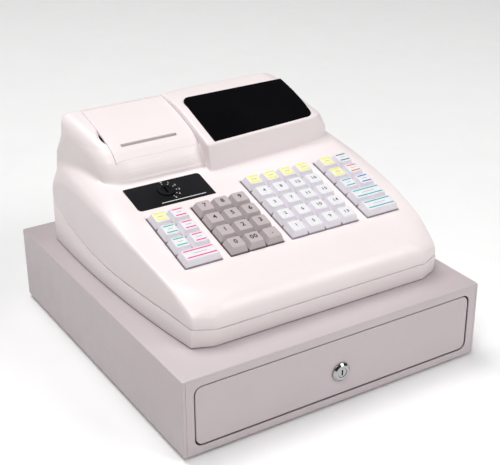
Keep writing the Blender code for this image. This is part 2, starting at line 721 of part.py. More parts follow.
def drawer_lock():
    """Bezel and barrel through the front, a turning plug with a keyway, and its cam."""
    face = CASE_FRONT - LOCK_PROUD
    length = 20.0
    bore = PLUG_RADIUS + GAP
    seat = LOCK_PROUD - 0.4            # underside of the bezel
    outline = [(bore, 0.0), (LOCK_RADIUS - 2.2, 0.0), (LOCK_RADIUS, 1.6), (LOCK_RADIUS, seat),
               (LOCK_BARREL, seat), (LOCK_BARREL, length), (bore, length), (bore, 0.0)]
    pivot = (LOCK_X, face, LOCK_Z)
    smooth(add_object("lock_barrel", turned_mesh(outline, pivot, "y", 32), CHROME))
    sunk, plug_length = 0.4, 22.6
    middle = (LOCK_X, face + sunk + plug_length / 2, LOCK_Z)
    plug = rod_mesh(middle, PLUG_RADIUS, plug_length, "y", 24)
    body = add_object("lock_plug", plug, CHROME, pivot)
    keyway = box_mesh(LOCK_X - 0.8, LOCK_X + 0.8, face - 1.0, face + 9.0, LOCK_Z - 3.0, LOCK_Z + 3.0)
    cut(body, keyway, "keyway")
    start = face + sunk + plug_length - 0.5
    cam = [(-6, -4.5), (CAM_LENGTH - 4.5, -4.5), (CAM_LENGTH, 0), (CAM_LENGTH - 4.5, 4.5), (-6, 4.5)]
    stand = Matrix.Translation((LOCK_X, start, LOCK_Z)) @ Matrix.Rotation(math.pi / 2, 4, "X")
    join(body, plate_mesh(cam, -2.0, 0.0, stand), "lock_cam")
    hook = start - 5.0
    tab = box_mesh(LOCK_X - 9.0, LOCK_X + 9.0, hook, hook + 1.6, 68.0, CASE_TOP - SHEET / 2)
    join(bpy.data.objects["drawer_case"], tab, "lock_strike")


def drawer_runners():
    """Wall rails with a glide in the case's mouth, and two rollers on the back of the tray."""
    wall = CASE_WIDTH / 2 - SHEET - GAP
    roller_x = TRAY_HALF + 0.6 + ROLLER_WIDTH / 2
    ledge_z = LIP_Z - 8.0
    rail_back = CASE_FRONT + 335.0
    for side, sign in (("left", -1), ("right", 1)):
        x0, x1 = sorted((sign * (wall - 1.5), sign * wall))
        plate = box_mesh(x0, x1, CASE_FRONT + 10.0, rail_back, ledge_z - 8.0, ledge_z + 22.0)
        rail = add_object(f"rail_{side}", plate, STEEL)
        x0, x1 = sorted((sign * (TRAY_HALF + 0.8), sign * (wall - 0.7)))
        ledge = box_mesh(x0, x1, CASE_FRONT + 34.0, rail_back, ledge_z - 1.5, ledge_z)
        join(rail, ledge, f"rail_ledge_{side}")
        glide = box_mesh(x0, x1, CASE_FRONT + 12.0, CASE_FRONT + 32.0, LIP_Z - GAP - 6.0, LIP_Z - GAP)
        join(rail, glide, f"rail_glide_{side}")
        centre = (sign * roller_x, TRAY_BACK - 7.0, ledge_z + GAP + ROLLER_RADIUS)
        wheel = rod_mesh(centre, ROLLER_RADIUS, ROLLER_WIDTH, "x", 24)
        body = add_object(f"roller_{side}", wheel, TILL, centre)
        reach = roller_x - TRAY_HALF - GAP
        axle = rod_mesh((centre[0] - sign * reach / 2, centre[1], centre[2]), 2.0, reach, "x", 12)
        join(body, axle, f"roller_axle_{side}")
        smooth(body)


def drawer_release():
    """Solenoid with its base plate and post; the hooked latch lever turns on the post.

    At rest the lever is pulled aside, so the drawer is free; it swings back in front of the strike.
    """
    floor = CASE_BOTTOM + SHEET + GAP
    x, y = LATCH_PIVOT
    pivot = (x, y, (LATCH_Z[0] + LATCH_Z[1]) / 2)
    boss, hook, tip = 5.0, 13.5, 16.0  # half-width round the post, inner face and tip of the hook
    tail = 30.0                        # end of the arm that the solenoid pulls
    lever = [(-boss, boss), (-boss, -boss), (2, -boss), (2, -hook), (-6, -hook), (-6, -tip),
             (6, -tip), (6, -boss), (tail, 1 - boss), (tail, 2), (boss, boss)]
    place = Matrix.Translation((x, y, 0.0)) @ Matrix.Rotation(LATCH_REST, 4, "Z")
    body = add_object("latch_lever", plate_mesh(lever, *LATCH_Z, place), STEEL, pivot)
    post = 2.5
    cut(body, rod_mesh(pivot, post + GAP, 10.0, "z", 16), "latch_bore")
    post_top = 30.0
    winding = box_mesh(x + 36.0, x + 70.0, y - 9.0, y + 9.0, floor, floor + 26.0)
    coil = add_object("release_solenoid", winding, DARK)
    join(coil, box_mesh(x - 6.0, x + 50.0, y - 6.5, y + 8.0, floor, floor + 2.0), "solenoid_plate")
    join(coil, rod_mesh((x, y, (floor + post_top) / 2), post, post_top - floor, "z", 16), "latch_post")


# ============================================================= register housing
def base_housing():
    """Lower shell: a tub whose inner lip closes the shadow groove under the cover."""
    middle = (BODY_FRONT + FACET_DEPTH, -121, -90, -57, -22, 0, 29, 50, 67, 97, 121, 132)

    def tub(inset, low, lift):
        rings = []
        for place in (BODY_FRONT + inset, *middle, BODY_BACK - inset):
            y = min(max(place, BODY_FRONT), BODY_BACK - 1.0)
            wall = half_width(y) - inset
            top = seam_height(y) + lift
            rings.append([body_point(BODY_X + x, place, h)
                          for x, h in ((wall, low), (wall, top), (-wall, top), (-wall, low))])
        return loft_mesh(rings)

    body = add_object("base_housing", tub(0.0, BASE_LIFT, -SEAM / 2), PLASTIC)
    join(body, tub(SEAM_DEPTH, BASE_LIFT + 1.0, SEAM / 2 - GAP), "base_lip")
    cut(body, tub(SEAM_DEPTH + 1.8, BASE_LIFT + WALL, 30.0), "base_inside")
    inlet = INLET_BOX
    cut(body, box_mesh(inlet[0] - GAP, inlet[1] + GAP, inlet[3] - 12.0, inlet[3] + 10.0,
                       inlet[4] - GAP, inlet[5] + GAP), "inlet_hole")


def block_span(block):
    """Left, right, front and back edges of a block of keys along the deck."""
    first, count = COLUMNS[block]
    half = KEY_BASE / 2
    return (first - half, first + (count - 1) * PITCH + half,
            FRONT_ROW - half, FRONT_ROW + (ROWS[block] - 1) * PITCH + half)


def top_cover():
    """Upper shell with the deck, the printer dome and the display dome."""
    body = add_object("top_cover", cover_body(), PLASTIC)
    join(body, printer_dome(), "printer_form")
    join(body, display_dome(), "display_form")
    cut(body, cover_body(WALL, 12.0), "cover_hollow")
    cut(body, printer_dome(WALL, 60.0), "printer_hollow")
    cut(body, display_dome(WALL, 60.0), "display_hollow")
    wells = []
    for block in COLUMNS:
        x0, x1, y0, y1 = block_span(block)
        m = WELL_MARGIN
        wells.append((x0 - m, x1 + m, y0 - m, y1 + m, -12.0, 12.0))
    mesh = boxes_mesh(wells)
    mesh.transform(deck_matrix())
    cut(body, mesh, "key_wells")
    x0, x1, y0, y1 = MODE_PANEL
    recess = rounded_outline(x0 - GAP, x1 + GAP, y0 - GAP, y1 + GAP, (4.3, 0.0, 4.3, 0.0))
    cut(body, plate_mesh(recess, -MODE_THICK, 5.0, deck_matrix()), "mode_recess")
    hole = rod_mesh((0, 0, 0), MODE_RADIUS + 0.8, 14.0, segments=24)
    hole.transform(mode_place())
    cut(body, hole, "mode_hole")
    display = display_matrix()
    recess = plate_mesh(window_outline(-GAP), -WINDOW_THICK - GAP, 8.0, display)
    cut(body, recess, "window_recess")
    cut(body, plate_mesh(window_outline(4.0), -8.0, 4.0, display), "window_hole")
    low = body_point(LID_LEFT - 0.5, LID_FRONT - 0.5, 99.0)
    high = body_point(LID_RIGHT + 0.5, LID_BACK + 0.9, 160.0)
    cut(body, box_mesh(low[0], high[0], low[1], high[1], low[2], high[2]), "lid_opening")
    build = bmesh.new()
    bmesh.ops.create_uvsphere(build, u_segments=16, v_segments=8, radius=1.0)
    centre = Vector(body_point(LID_LEFT - 1.0, 79.0, printer_top(LID_LEFT, 79.0) + 1.2))
    build.transform(Matrix.Translation(centre) @ Matrix.Rotation(math.radians(22), 4, "X")
                    @ Matrix.Diagonal((6.5, 13.0, 5.0, 1.0)))
    cut(body, to_mesh(build), "finger_notch")
    set_solver(body, "MANIFOLD")       # the skins cross at slight angles, where the exact solver fails
    weld = body.modifiers.new("weld", "WELD")
    weld.merge_threshold = 0.00001


def printer_lid():
    """Hinged lid that carries on the printer dome's surface, with the receipt slit."""
    lean = 0.5
    rows = [LID_FRONT, 50.5, 55, 60, 66, 75, 84, 92, 101, 110, 118, LID_BACK]
    rings = []
    for x in (LID_LEFT, LID_LEFT + 5.0, LID_LEFT + 11.0, LID_RIGHT):
        top = [(y, printer_top(x, y)) for y in rows]
        under = [(max(y, LID_FRONT + lean * WALL), printer_top(x, y) - WALL) for y in rows]
        under[0] = (LID_FRONT + lean * WALL, printer_top(x, LID_FRONT + lean * WALL) - WALL)
        under[1] = (rows[1] + lean * WALL, printer_top(x, rows[1] + lean * WALL) - WALL)
        rings.append([body_point(x, y, h) for y, h in top + under[::-1]])
    pivot = body_point((LID_LEFT + LID_RIGHT) / 2, *LID_HINGE)
    body = add_object("printer_lid", loft_mesh(rings), PLASTIC, pivot)
    x0, x1, y0, y1 = SLIT
    low = body_point(x0, y0, 100.0)
    high = body_point(x1, y1, 140.0)
    cut(body, box_mesh(low[0], high[0], low[1], high[1], low[2], high[2]), "receipt_slit")


def printer_parts():
    """Paper roll in its bucket, print head on the frame, platen roller under the lid."""
    roll = body_point(ROLL_X, *ROLL_CENTRE)
    x, y, z = roll
    core = 6.0
    outline = [(core, ROLL_HALF), (ROLL_RADIUS, ROLL_HALF), (ROLL_RADIUS, -ROLL_HALF),
               (core, -ROLL_HALF), (core, ROLL_HALF)]
    smooth(add_object("paper_roll", turned_mesh(outline, roll, "x", 32), PAPER, roll))
    play = 1.6                         # room round the roll
    wall = 2.5
    shell = ROLL_RADIUS + play
    inside = ROLL_HALF + 1.5
    outside = inside + wall
    block = box_mesh(x - outside, x + outside, y - shell - wall, y + shell + wall,
                     z - shell - wall, z + 6.0)
    frame = add_object("printer_frame", block, DARK)
    cut(frame, rod_mesh((x, y, z + play - GAP), shell, 2 * inside, "x", 32), "bucket_round")
    mouth = box_mesh(x - inside, x + inside, y - shell, y + shell, z, z + 20.0)
    cut(frame, mouth, "bucket_mouth")
    for name, inset, y1, h0, h1 in (("print_head", 0.0, 56.5, 84.0, 102.0),
                                    ("head_shelf", 1.0, 72.0, 84.5, 89.0)):
        low = body_point(SLIT[0] + inset, 47.0, h0)
        high = body_point(SLIT[1] - inset, y1, h1)
        join(frame, box_mesh(low[0], high[0], low[1], high[1], low[2], high[2]), name)
    platen = body_point(ROLL_X, *PLATEN_CENTRE)
    ends, sleeve = 33.0, 29.0
    outline = [(0.0, ends), (2.0, ends), (2.0, sleeve), (PLATEN_RADIUS, sleeve), (PLATEN_RADIUS, -sleeve),
               (2.0, -sleeve), (2.0, -ends), (0.0, -ends)]
    smooth(add_object("platen_roller", turned_mesh(outline, platen, "x", 24), RUBBER, platen))


def display_parts():
    glazing = plate_mesh(window_outline(), -WINDOW_THICK, 0.0, display_matrix())
    add_object("display_window", glazing, GLOSS)
    x0, x1 = WINDOW[0] + 6.0, WINDOW[1] - 6.0
    y0, y1 = WINDOW[2] + 9.5, WINDOW[3] - 8.0
    low, high, glass = -9.5, -8.0, -4.0     # board and tube below the display's slope
    board = box_mesh(x0, x1, y0, y1, low, high)
    board.transform(display_matrix())
    body = add_object("display_board", board, BOARD)
    tube = box_mesh(x0 + 10.0, x1 - 10.0, y0 + 12.0, y1 - 12.0, high - 0.5, glass)
    tube.transform(display_matrix())
    join(body, tube, "display_tube")


def mode_parts():
    x0, x1, y0, y1 = MODE_PANEL
    outline = rounded_outline(x0, x1, y0, y1, (4.0, 0.0, 4.0, 0.0))
    panel = add_object("mode_panel", plate_mesh(outline, -MODE_THICK + GAP, 0.2, deck_matrix()), DARK)
    place = mode_place()
    hole = rod_mesh((0, 0, 0), MODE_RADIUS + GAP, 10.0, segments=32)
    hole.transform(place)
    cut(panel, hole, "mode_panel_hole")
    pivot = place @ Vector((0.0, 0.0, 0.0))
    rotor = rod_mesh((0.0, 0.0, -7.0), MODE_RADIUS, 18.0, segments=32)
    rotor.transform(place)
    body = add_object("mode_lock", rotor, DARK, pivot)
    keyway = box_mesh(-1.1, 1.1, -4.5, 4.5, -7.0, 5.0)
    keyway.transform(place)
    cut(body, keyway, "mode_keyway")


def key_mesh(x, v, across=1):
    """Cap with sloped sides on a stem; v is its place up the deck, across its width in pitches."""
    build = bmesh.new()
    half = KEY_BASE / 2 + (across - 1) * PITCH / 2
    half_top = KEY_TOP / 2 + (across - 1) * PITCH / 2
    rings = []
    for half_x, half_y, level in ((half, KEY_BASE / 2, -KEY_SKIRT), (half, KEY_BASE / 2, 0.8),
                                  (half_top, KEY_TOP / 2, KEY_HEIGHT - 0.6),
                                  (half_top - 0.8, KEY_TOP / 2 - 0.8, KEY_HEIGHT)):
        corners = ((-half_x, -half_y), (half_x, -half_y), (half_x, half_y), (-half_x, half_y))
        rings.append([build.verts.new((x + cx, v + cy, level)) for cx, cy in corners])
    for near, far in zip(rings, rings[1:]):
        for i in range(4):
            j = (i + 1) % 4
            build.faces.new((near[i], near[j], far[j], far[i]))
    build.faces.new(rings[0])
    build.faces.new(rings[-1])
    build.transform(deck_matrix())
    return to_mesh(build)


def key_names():
    """Each key node: (name, block, row from the front, first column, keys, pitches wide)."""
    names = [("key_clear", "left", 0, 0, 1, 2), ("key_subtotal", "right", 1, 0, 1, 2),
             ("key_cash", "right", 0, 0, 1, 2)]
    names += [(f"keys_left_row_{row}", "left", row, 0, 2, 1) for row in (1, 2, 3)]
    names += [(f"keys_right_row_{row}", "right", row, 0, 2, 1) for row in (2, 3, 4)]
    names += [(f"keys_department_row_{row + 1}", "department", row, 0, 4, 1) for row in range(5)]
    digits = (("0", "00", "point"), ("1", "2", "3"), ("4", "5", "6"), ("7", "8", "9"))
    for row, labels in enumerate(digits):
        names += [(f"key_{label}", "numeric", row, column, 1, 1) for column, label in enumerate(labels)]
    return names


def keyboard():
    web_half = 3.0                     # bars under the deck that join the caps of a row
    for name, block, row, column, count, across in key_names():
        first = COLUMNS[block][0] + column * PITCH + (across - 1) * PITCH / 2
        v = FRONT_ROW + row * PITCH
        finish = GREY_KEY if block == "numeric" else CLEAR_KEY
        pivot = deck_matrix() @ Vector((first, v, 0.0))
        body = add_object(name, key_mesh(first, v, across), finish, pivot)
        for k in range(1, count):
            join(body, key_mesh(first + k * PITCH, v), f"{name}_cap_{k}")
        if count > 1:
            last = first + (count - 1) * PITCH
            web = box_mesh(first, last, v - web_half, v + web_half, 0.2 - KEY_SKIRT, -0.5)
            web.transform(deck_matrix())
            join(body, web, f"{name}_web")
    margin = 13.0
    plate = box_mesh(-116.0, 134.0, FRONT_ROW - margin, FRONT_ROW + 4 * PITCH + margin,
                     -10.0, -KEY_SKIRT - KEY_TRAVEL - 2 * GAP)
    plate.transform(deck_matrix())
    add_object("keyboard_plate", plate, TILL)


def electronics():
    """Logic board over the base's floor, and the mains inlet in the base's back."""
    low = CASE_TOP + BASE_LIFT + WALL + 8.0
    high = low + 1.6
    board = add_object("main_board", box_mesh(-90.0, 60.0, -60.0, 50.0, low, high), BOARD)
    join(board, box_mesh(-40.0, -10.0, -30.0, 0.0, high - 0.6, high + 3.4), "processor")
    join(board, box_mesh(20.0, 50.0, -40.0, 30.0, high - 0.6, high + 10.4), "connectors")
    x0, x1, y0, y1, z0, z1 = INLET_BOX
    inlet = add_object("power_inlet", box_mesh(x0, x1, y0, y1, z0, z1), DARK)
    wall, depth = 3.0, 18.0
    socket = box_mesh(x0 + wall, x1 - wall, y1 - depth, y1 + 2.0, z0 + wall, z1 - wall)
    cut(inlet, socket, "inlet_socket")


def main():
    clear_scene()
    drawer_case()
    rubber_feet()
    drawer_front()
    drawer_tray()
    cash_till()
    note_clips()
    drawer_lock()
    drawer_runners()
    drawer_release()
    base_housing()
    top_cover()
    printer_lid()
    printer_parts()
    display_parts()
    mode_parts()
    keyboard()
    electronics()


main()
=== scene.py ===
"""Looks of the electronic cash register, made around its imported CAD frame.

Sizes are in millimetres.  The register's own surfaces are given with x across the
drawer, y from the drawer's middle and h above the drawer, as to_world() turns them.
"""

import math

import bmesh
import bpy
import numpy as np
from mathutils import Matrix, Vector


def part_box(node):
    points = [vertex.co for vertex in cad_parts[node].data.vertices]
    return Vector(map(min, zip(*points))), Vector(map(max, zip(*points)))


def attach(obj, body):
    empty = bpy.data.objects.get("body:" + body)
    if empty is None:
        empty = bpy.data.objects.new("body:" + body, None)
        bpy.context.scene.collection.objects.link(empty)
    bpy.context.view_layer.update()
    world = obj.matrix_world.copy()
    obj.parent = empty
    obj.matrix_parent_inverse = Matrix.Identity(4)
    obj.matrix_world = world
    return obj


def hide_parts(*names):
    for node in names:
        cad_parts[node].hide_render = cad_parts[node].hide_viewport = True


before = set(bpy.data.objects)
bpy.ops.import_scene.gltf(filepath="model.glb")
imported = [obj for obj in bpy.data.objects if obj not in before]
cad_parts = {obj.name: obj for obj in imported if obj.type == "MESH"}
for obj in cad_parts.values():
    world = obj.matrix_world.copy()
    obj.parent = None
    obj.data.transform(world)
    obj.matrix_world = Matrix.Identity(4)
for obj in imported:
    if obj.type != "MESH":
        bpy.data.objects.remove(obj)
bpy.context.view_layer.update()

MM = 0.001
SHIFT = Vector((0.0, 1.5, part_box("drawer_case")[1].z / MM))    # register frame to world, in mm

# ------------------------------------------------------------ register housing
BODY_X = 5.0
BODY_FRONT, BODY_BACK = -147.0, 141.0
WALL = 2.6
HALF_WIDTH, SIDE_TAPER, SIDE_BOW, SIDE_SPAN = 150.3, 5.02, 5.63, 122.2     # plan curve of the sides
FACET_WIDTH, FACET_DEPTH = 19.2, 8.4           # the cut front corners
FACET_ROUND, BACK_CORNER = 1.2, 9.0            # rounding of the plan's corners, front and back
SEAM, SEAM_DEPTH = 1.5, 1.4                    # groove between the base and the cover
SEAM_HEIGHT = 22.5
SEAM_RISE, SEAM_RISE_FROM = 0.00096, -22.0     # the seam climbs to the back
SEAM_DIP, SEAM_DIP_FROM = 3.0, -90.0           # and dips to the front
BASE_LEAN, BASE_LEAN_FROM = 3.2, -100.0        # the base's front runs in towards its foot
FIT_GAP = 0.3
DECK_HEIGHT, DECK_ANGLE = 80.0, math.radians(15.0)
NOSE_RADIUS = 25.0
NOSE_INSET, NOSE_REACH = 0.6, 19.5             # the nose's arc, from the cut corners inwards
LEVEL_HEIGHT, LEVEL_BLEND = 92.0, 12.0         # level top behind the deck
REAR_ROUND = 14.0
CROWN_WIDTH = 24.0                             # the top falls off towards its sides over this width
EDGE_DROPS = ((-147, 0.5), (-138.6, 2.0), (-130, 3.9), (-121, 4.4), (-107, 2.3), (-81, 0.8), (-57, 1.1),
              (-33, 2.8), (0, 6.2), (33, 9.3), (64, 9.4), (97, 10.4), (121, 16.5), (131, 22.0), (141, 30.0))
EDGE_ROUND = ((-147.0, -40.0, 60.0, 141.0), (2.4, 3.4, 6.0, 8.0))          # places, radii
RIDGE_HEIGHT = 141.2
RIDGE_LEVEL, RIDGE_DIP = 30.0, 2.2     # left of this place the display's ridge comes down to the printer's
CREST_Y, CREST_ROUND = 132.0, 4.0
BACK_RISE, BACK_LEAN = 61.0, 7.8       # the domes' back leans forwards by the second over the first

# --------------------------------------------------------------------- domes
PRINTER_LEFT, PRINTER_FLARE, PRINTER_FOOT = -124.0, 0.139, 37.5
PRINTER_CORNER = (26.0, 18.5)
PRINTER_SIDE_ROUND = ((97.0, 118.0), (1.5, 14.0))                          # heights, radii
PRINTER_FILLET = ((-124.0, -95.0, -45.0), (4.5, 3.2, 2.2))                 # places, radii
PRINTER_BASE = 90.0
PRINTER_OUTLINE = ((0, 0), (3.4, 8), (8, 16), (14.5, 23.0), (24, 29.2), (39, 35.2), (54, 40), (74, 45.2),
                   (92.5, 49.2), (110, 52))
PRINTER_LENGTH = 92.5
PRINTER_SET_IN = 0.5                   # its back, from the display's
DOME_OVERLAP = 6.0                     # the two domes run into each other
OUTLINE_ALONG, OUTLINE_UP, OUTLINE_STEP = (-30.0, 130.0), (-40.0, 70.0), 0.5
LID = (-109.0, -17.0, 48.1, 125.6)
LID_GAPS = (0.5, 0.15, 0.4)            # at its sides, front and back
SLIT = (-97.0, -35.0, 60.3, 63.6)
DISH_Y, DISH_TILT, DISH_SIZE = 79.0, math.radians(22.0), (4.2, 12.0, 4.6)
DISH_OUT, DISH_LIFT, DISH_ROUND = 0.6, 1.0, 0.8
DISPLAY_LEFT, DISPLAY_RIGHT = -16.0, 139.0
DISPLAY_FOOT, DISPLAY_SKEW = 27.0, 0.052       # its front's foot at the left, running back to the right
DISPLAY_SINK = 6.0                             # how far the dome starts below the level top
DISPLAY_SIDE_ROUND = ((98.0, 122.0), (2.0, 25.0))                          # heights, radii
DISPLAY_FILLET = ((-10.0, 100.0, 136.0), (1.0, 1.8, 7.0))                  # places, radii
DISPLAY_LEFT_ROUND, BROW_ROUND, RIDGE_ROUND = 3.0, 2.4, 9.0
DISPLAY_LEAN = 0.20                            # its right side leans in
DISPLAY_CORNER = (26.0, 13.0)
DISPLAY_RISE, DISPLAY_SLOPE = 101.5, math.radians(20.0)
WINDOW = (-6.0, 118.0, 34.5, 104.0)
WINDOW_BROW = 1.6                      # face below the window's lower edge
WINDOW_BOW = 6.0
WINDOW_SIDE = 2.6                      # how far its right edge bows out
WINDOW_CORNERS = (0.8, 8.0, 0.8, 8.0)
WINDOW_THICK = 1.6

# ------------------------------------------------------------------ keyboard
PITCH = 19.55
KEY_BASE, KEY_TOP, KEY_SKIRT = 18.5, 14.2, 3.0
KEY_FOOT = 9.1                         # half-width of a cap at its foot
CAP_TOP, CAP_DISH = 7.55, 0.2
CAP_RINGS = ((-KEY_SKIRT, KEY_FOOT, 0.8), (0.3, KEY_FOOT, 0.8), (0.8, KEY_FOOT - 0.15, 0.9), (4.2, 8.05, 1.4),
             (6.9, KEY_TOP / 2, 1.7), (7.3, KEY_TOP / 2 - 0.18, 1.7), (7.52, KEY_TOP / 2 - 0.6, 1.5),
             (CAP_TOP, KEY_TOP / 2 - 1.2, 1.2), (CAP_TOP, 4.4, 1.0), (CAP_TOP, 2.6, 0.8), (CAP_TOP, 1.0, 0.3))
LABEL_HALF, LABEL_THICK = (6.1, 6.0), 0.06
LABEL_LEVEL, NUMBER_LEVEL, LINE_LEVEL, BAR_LEVEL = 7.60, 7.62, 7.63, 7.64
BAR_PLACE, BAR_HALF, BAR_INSET = 4.4, 0.75, 0.7        # coloured bars at a label's two edges
LINE_SHARE, LINE_HALF = 0.45, 0.28                     # fine line in a label's middle
NUMBER_SIZE = 5.6
DIGIT_SIZE, DIGIT_LIFT, DIGIT_LEVEL = 7.4, 0.6, 7.44
FRONT_ROW = -86.9
COLUMNS = {"left": (-102.7, 2), "numeric": (-54.8, 3), "department": (12.3, 4), "right": (100.8, 2)}
ROWS = {"left": 4, "numeric": 4, "department": 5, "right": 5}
WELL_MARGIN = 0.9
MODE_PANEL = (-113.0, -29.5, -6.7, 29.5)
MODE_CENTRE = (-74.0, 14.0)
MODE_RADIUS = 8.5
MODE_FIRST, MODE_STEP = 85.0, 31.0     # degrees, of the first mark and between marks
MARK_RING, NUMBER_RING = MODE_RADIUS + 2.3, MODE_RADIUS + 5.2

# (height, growth) levels of the cuts through the cover; the growth rounds each opening's rim
WELL_CUT = ((-12.0, 0.0), (-0.5, 0.0), (0.05, 0.45), (4.0, 1.4))
MODE_CUT = ((-1.2, FIT_GAP), (-0.2, FIT_GAP), (0.05, 0.5), (4.0, 0.9))
WINDOW_CUT = ((-WINDOW_THICK - FIT_GAP, FIT_GAP), (-0.3, FIT_GAP), (0.05, 0.6), (6.0, 1.5))
WINDOW_HOLE = ((-9.0, -4.0), (2.0, -4.0))
LOCK_GAP = 0.8

FOLD_INSET, FOLD_LINE = 3.2, 0.4       # joint of the drawer case's sheet, from its edge, and its width

FORM_BOX = ((-152.0, -150.0, 12.0), (162.0, 145.0, 144.0))     # room around the cover
FORM_STEP = 1.15                       # grid of the outer form
HOLLOW_STEP = 3.0                      # grid of its inside
LID_STEP = 0.9


# ================================================================== materials
def noise_chain(tree, scale, detail, low, high):
    """Noise of an object-space scale, spread over a range: its output socket and its two first nodes."""
    place = tree.nodes.new("ShaderNodeTexCoord")
    noise = tree.nodes.new("ShaderNodeTexNoise")
    noise.inputs["Scale"].default_value = scale
    noise.inputs["Detail"].default_value = detail
    tree.links.new(place.outputs["Object"], noise.inputs["Vector"])
    spread = tree.nodes.new("ShaderNodeMapRange")
    spread.inputs["From Min"].default_value = 0.3
    spread.inputs["From Max"].default_value = 0.7
    spread.inputs["To Min"].default_value = low
    spread.inputs["To Max"].default_value = high
    tree.links.new(noise.outputs["Fac"], spread.inputs["Value"])
    return spread.outputs["Result"], noise, place


def draw_out(tree, place, noise, stretch):
    """Scale a noise along each axis, so that its grain runs one way."""
    mapping = tree.nodes.new("ShaderNodeMapping")
    mapping.inputs["Scale"].default_value = stretch
    tree.links.new(place.outputs["Object"], mapping.inputs["Vector"])
    tree.links.new(mapping.outputs["Vector"], noise.inputs["Vector"])


def finish(name, colour, roughness, metallic=0.0, tint=0.03, tint_scale=14.0, rough_spread=0.06,
           grain=900.0, grain_depth=0.00003, wave=0.0, wave_scale=160.0, stretch=None, **constants):
    """Principled material: mottled colour, uneven roughness, fine grain over a broad wave."""
    material = bpy.data.materials.new(name)
    material.use_nodes = True
    tree = material.node_tree
    shader = tree.nodes["Principled BSDF"]
    shader.inputs["Metallic"].default_value = metallic
    for socket, value in constants.items():
        shader.inputs[socket.replace("_", " ")].default_value = value
    share, _, _ = noise_chain(tree, tint_scale, 4.0, 0.0, 1.0)
    mix = tree.nodes.new("ShaderNodeMix")
    mix.data_type = "RGBA"
    mix.inputs["A"].default_value = (*[c * (1.0 - tint) for c in colour], 1.0)
    mix.inputs["B"].default_value = (*[min(1.0, c * (1.0 + tint)) for c in colour], 1.0)
    tree.links.new(share, mix.inputs["Factor"])
    tree.links.new(mix.outputs["Result"], shader.inputs["Base Color"])
    rough, noise, place = noise_chain(tree, 60.0, 6.0, roughness - rough_spread, roughness + rough_spread)
    if stretch is not None:
        draw_out(tree, place, noise, stretch)
    tree.links.new(rough, shader.inputs["Roughness"])
    normal = None
    for scale, depth in ((grain, grain_depth), (wave_scale, wave)):
        if depth <= 0.0:
            continue
        height, texture, place = noise_chain(tree, scale, 3.0, 0.0, 1.0)
        if stretch is not None:
            draw_out(tree, place, texture, stretch)
        bump = tree.nodes.new("ShaderNodeBump")
        bump.inputs["Strength"].default_value = 0.6
        bump.inputs["Distance"].default_value = depth
        tree.links.new(height, bump.inputs["Height"])
        if normal is not None:
            tree.links.new(normal, bump.inputs["Normal"])
        normal = bump.outputs["Normal"]
    if normal is not None:
        tree.links.new(normal, shader.inputs["Normal"])
    return material


FINISH = {
    "warm_white_plastic": finish("moulded_white", (0.86, 0.78, 0.78), 0.38, tint=0.012, grain=1500.0,
                                 grain_depth=0.00004, wave=0.00006, wave_scale=45.0),
    "drawer_paint": finish("powder_paint", (0.56, 0.490, 0.508), 0.42, tint=0.02, grain=1100.0,
                           grain_depth=0.00008, wave=0.00016, wave_scale=420.0, Coat_Weight=0.08),
    "zinc_steel": finish("zinc_steel", (0.60, 0.60, 0.58), 0.36, 1.0, tint=0.10, tint_scale=60.0,
                         grain=500.0, grain_depth=0.00003, stretch=(1.0, 0.06, 1.0)),
    "chrome": finish("chrome", (0.42, 0.42, 0.43), 0.13, 1.0, rough_spread=0.05, grain=2500.0,
                     grain_depth=0.000006),
    "black_plastic": finish("black_plastic", (0.007, 0.007, 0.009), 0.46, tint=0.25, grain=1900.0,
                            grain_depth=0.00005, Specular_IOR_Level=0.12),
    "smoked_window": finish("smoked_acrylic", (0.003, 0.003, 0.004), 0.09, tint=0.3, rough_spread=0.03,
                            grain=2600.0, grain_depth=0.000002, Specular_IOR_Level=0.20),
    "till_plastic": finish("till_plastic", (0.055, 0.055, 0.06), 0.48, tint=0.15, grain=1300.0,
                           grain_depth=0.00007),
    "black_rubber": finish("rubber", (0.018, 0.018, 0.018), 0.80, tint=0.2, grain=700.0,
                           grain_depth=0.00010),
    "circuit_board": finish("solder_mask", (0.01, 0.13, 0.045), 0.36, tint=0.35, tint_scale=220.0,
                            grain=400.0, grain_depth=0.00005, Coat_Weight=0.3),
    "thermal_paper": finish("paper", (0.88, 0.88, 0.85), 0.72, tint=0.02, tint_scale=40.0, grain=1600.0,
                            grain_depth=0.00006, stretch=(0.2, 1.0, 1.0)),
    "grey_key": finish("grey_key", (0.52, 0.455, 0.465), 0.42, tint=0.03, tint_scale=70.0, grain=1600.0,
                       grain_depth=0.00004),
    "lilac_key": finish("clear_cap", (0.82, 0.79, 0.84), 0.24, tint=0.03, tint_scale=90.0, grain=1200.0,
                        grain_depth=0.00002, Subsurface_Weight=0.06, Subsurface_Scale=0.001,
                        Coat_Weight=0.3),
}
PRINTS = {
    "label": (0.80, 0.80, 0.82), "pale_yellow": (0.86, 0.85, 0.52), "ink": (0.01, 0.01, 0.012),
    "pale_ink": (0.80, 0.80, 0.80), "grey_ink": (0.35, 0.35, 0.38),
    "yellow": (0.86, 0.83, 0.16), "pink": (0.80, 0.06, 0.26), "green": (0.04, 0.50, 0.34),
    "teal": (0.03, 0.42, 0.50), "blue": (0.03, 0.14, 0.55), "orange": (0.80, 0.17, 0.05),
    "dark_teal": (0.03, 0.20, 0.24),
    # the two skirt colours below are painted shade: the dark gaps between keycaps, not a colour of the caps
    "lilac_painted_shade": (0.40, 0.37, 0.42), "grey_painted_shade": (0.20, 0.17, 0.18),
}
PRINT = {name: finish(f"print_{name}", colour, 0.42, tint=0.04, tint_scale=300.0, grain=1800.0,
                      grain_depth=0.00001) for name, colour in PRINTS.items()}


# ============================================================== mesh building
def to_world(x, y, h):
    """A place in the register's own measures, in millimetres from the world's origin."""
    return Vector((x, y, h)) + SHIFT


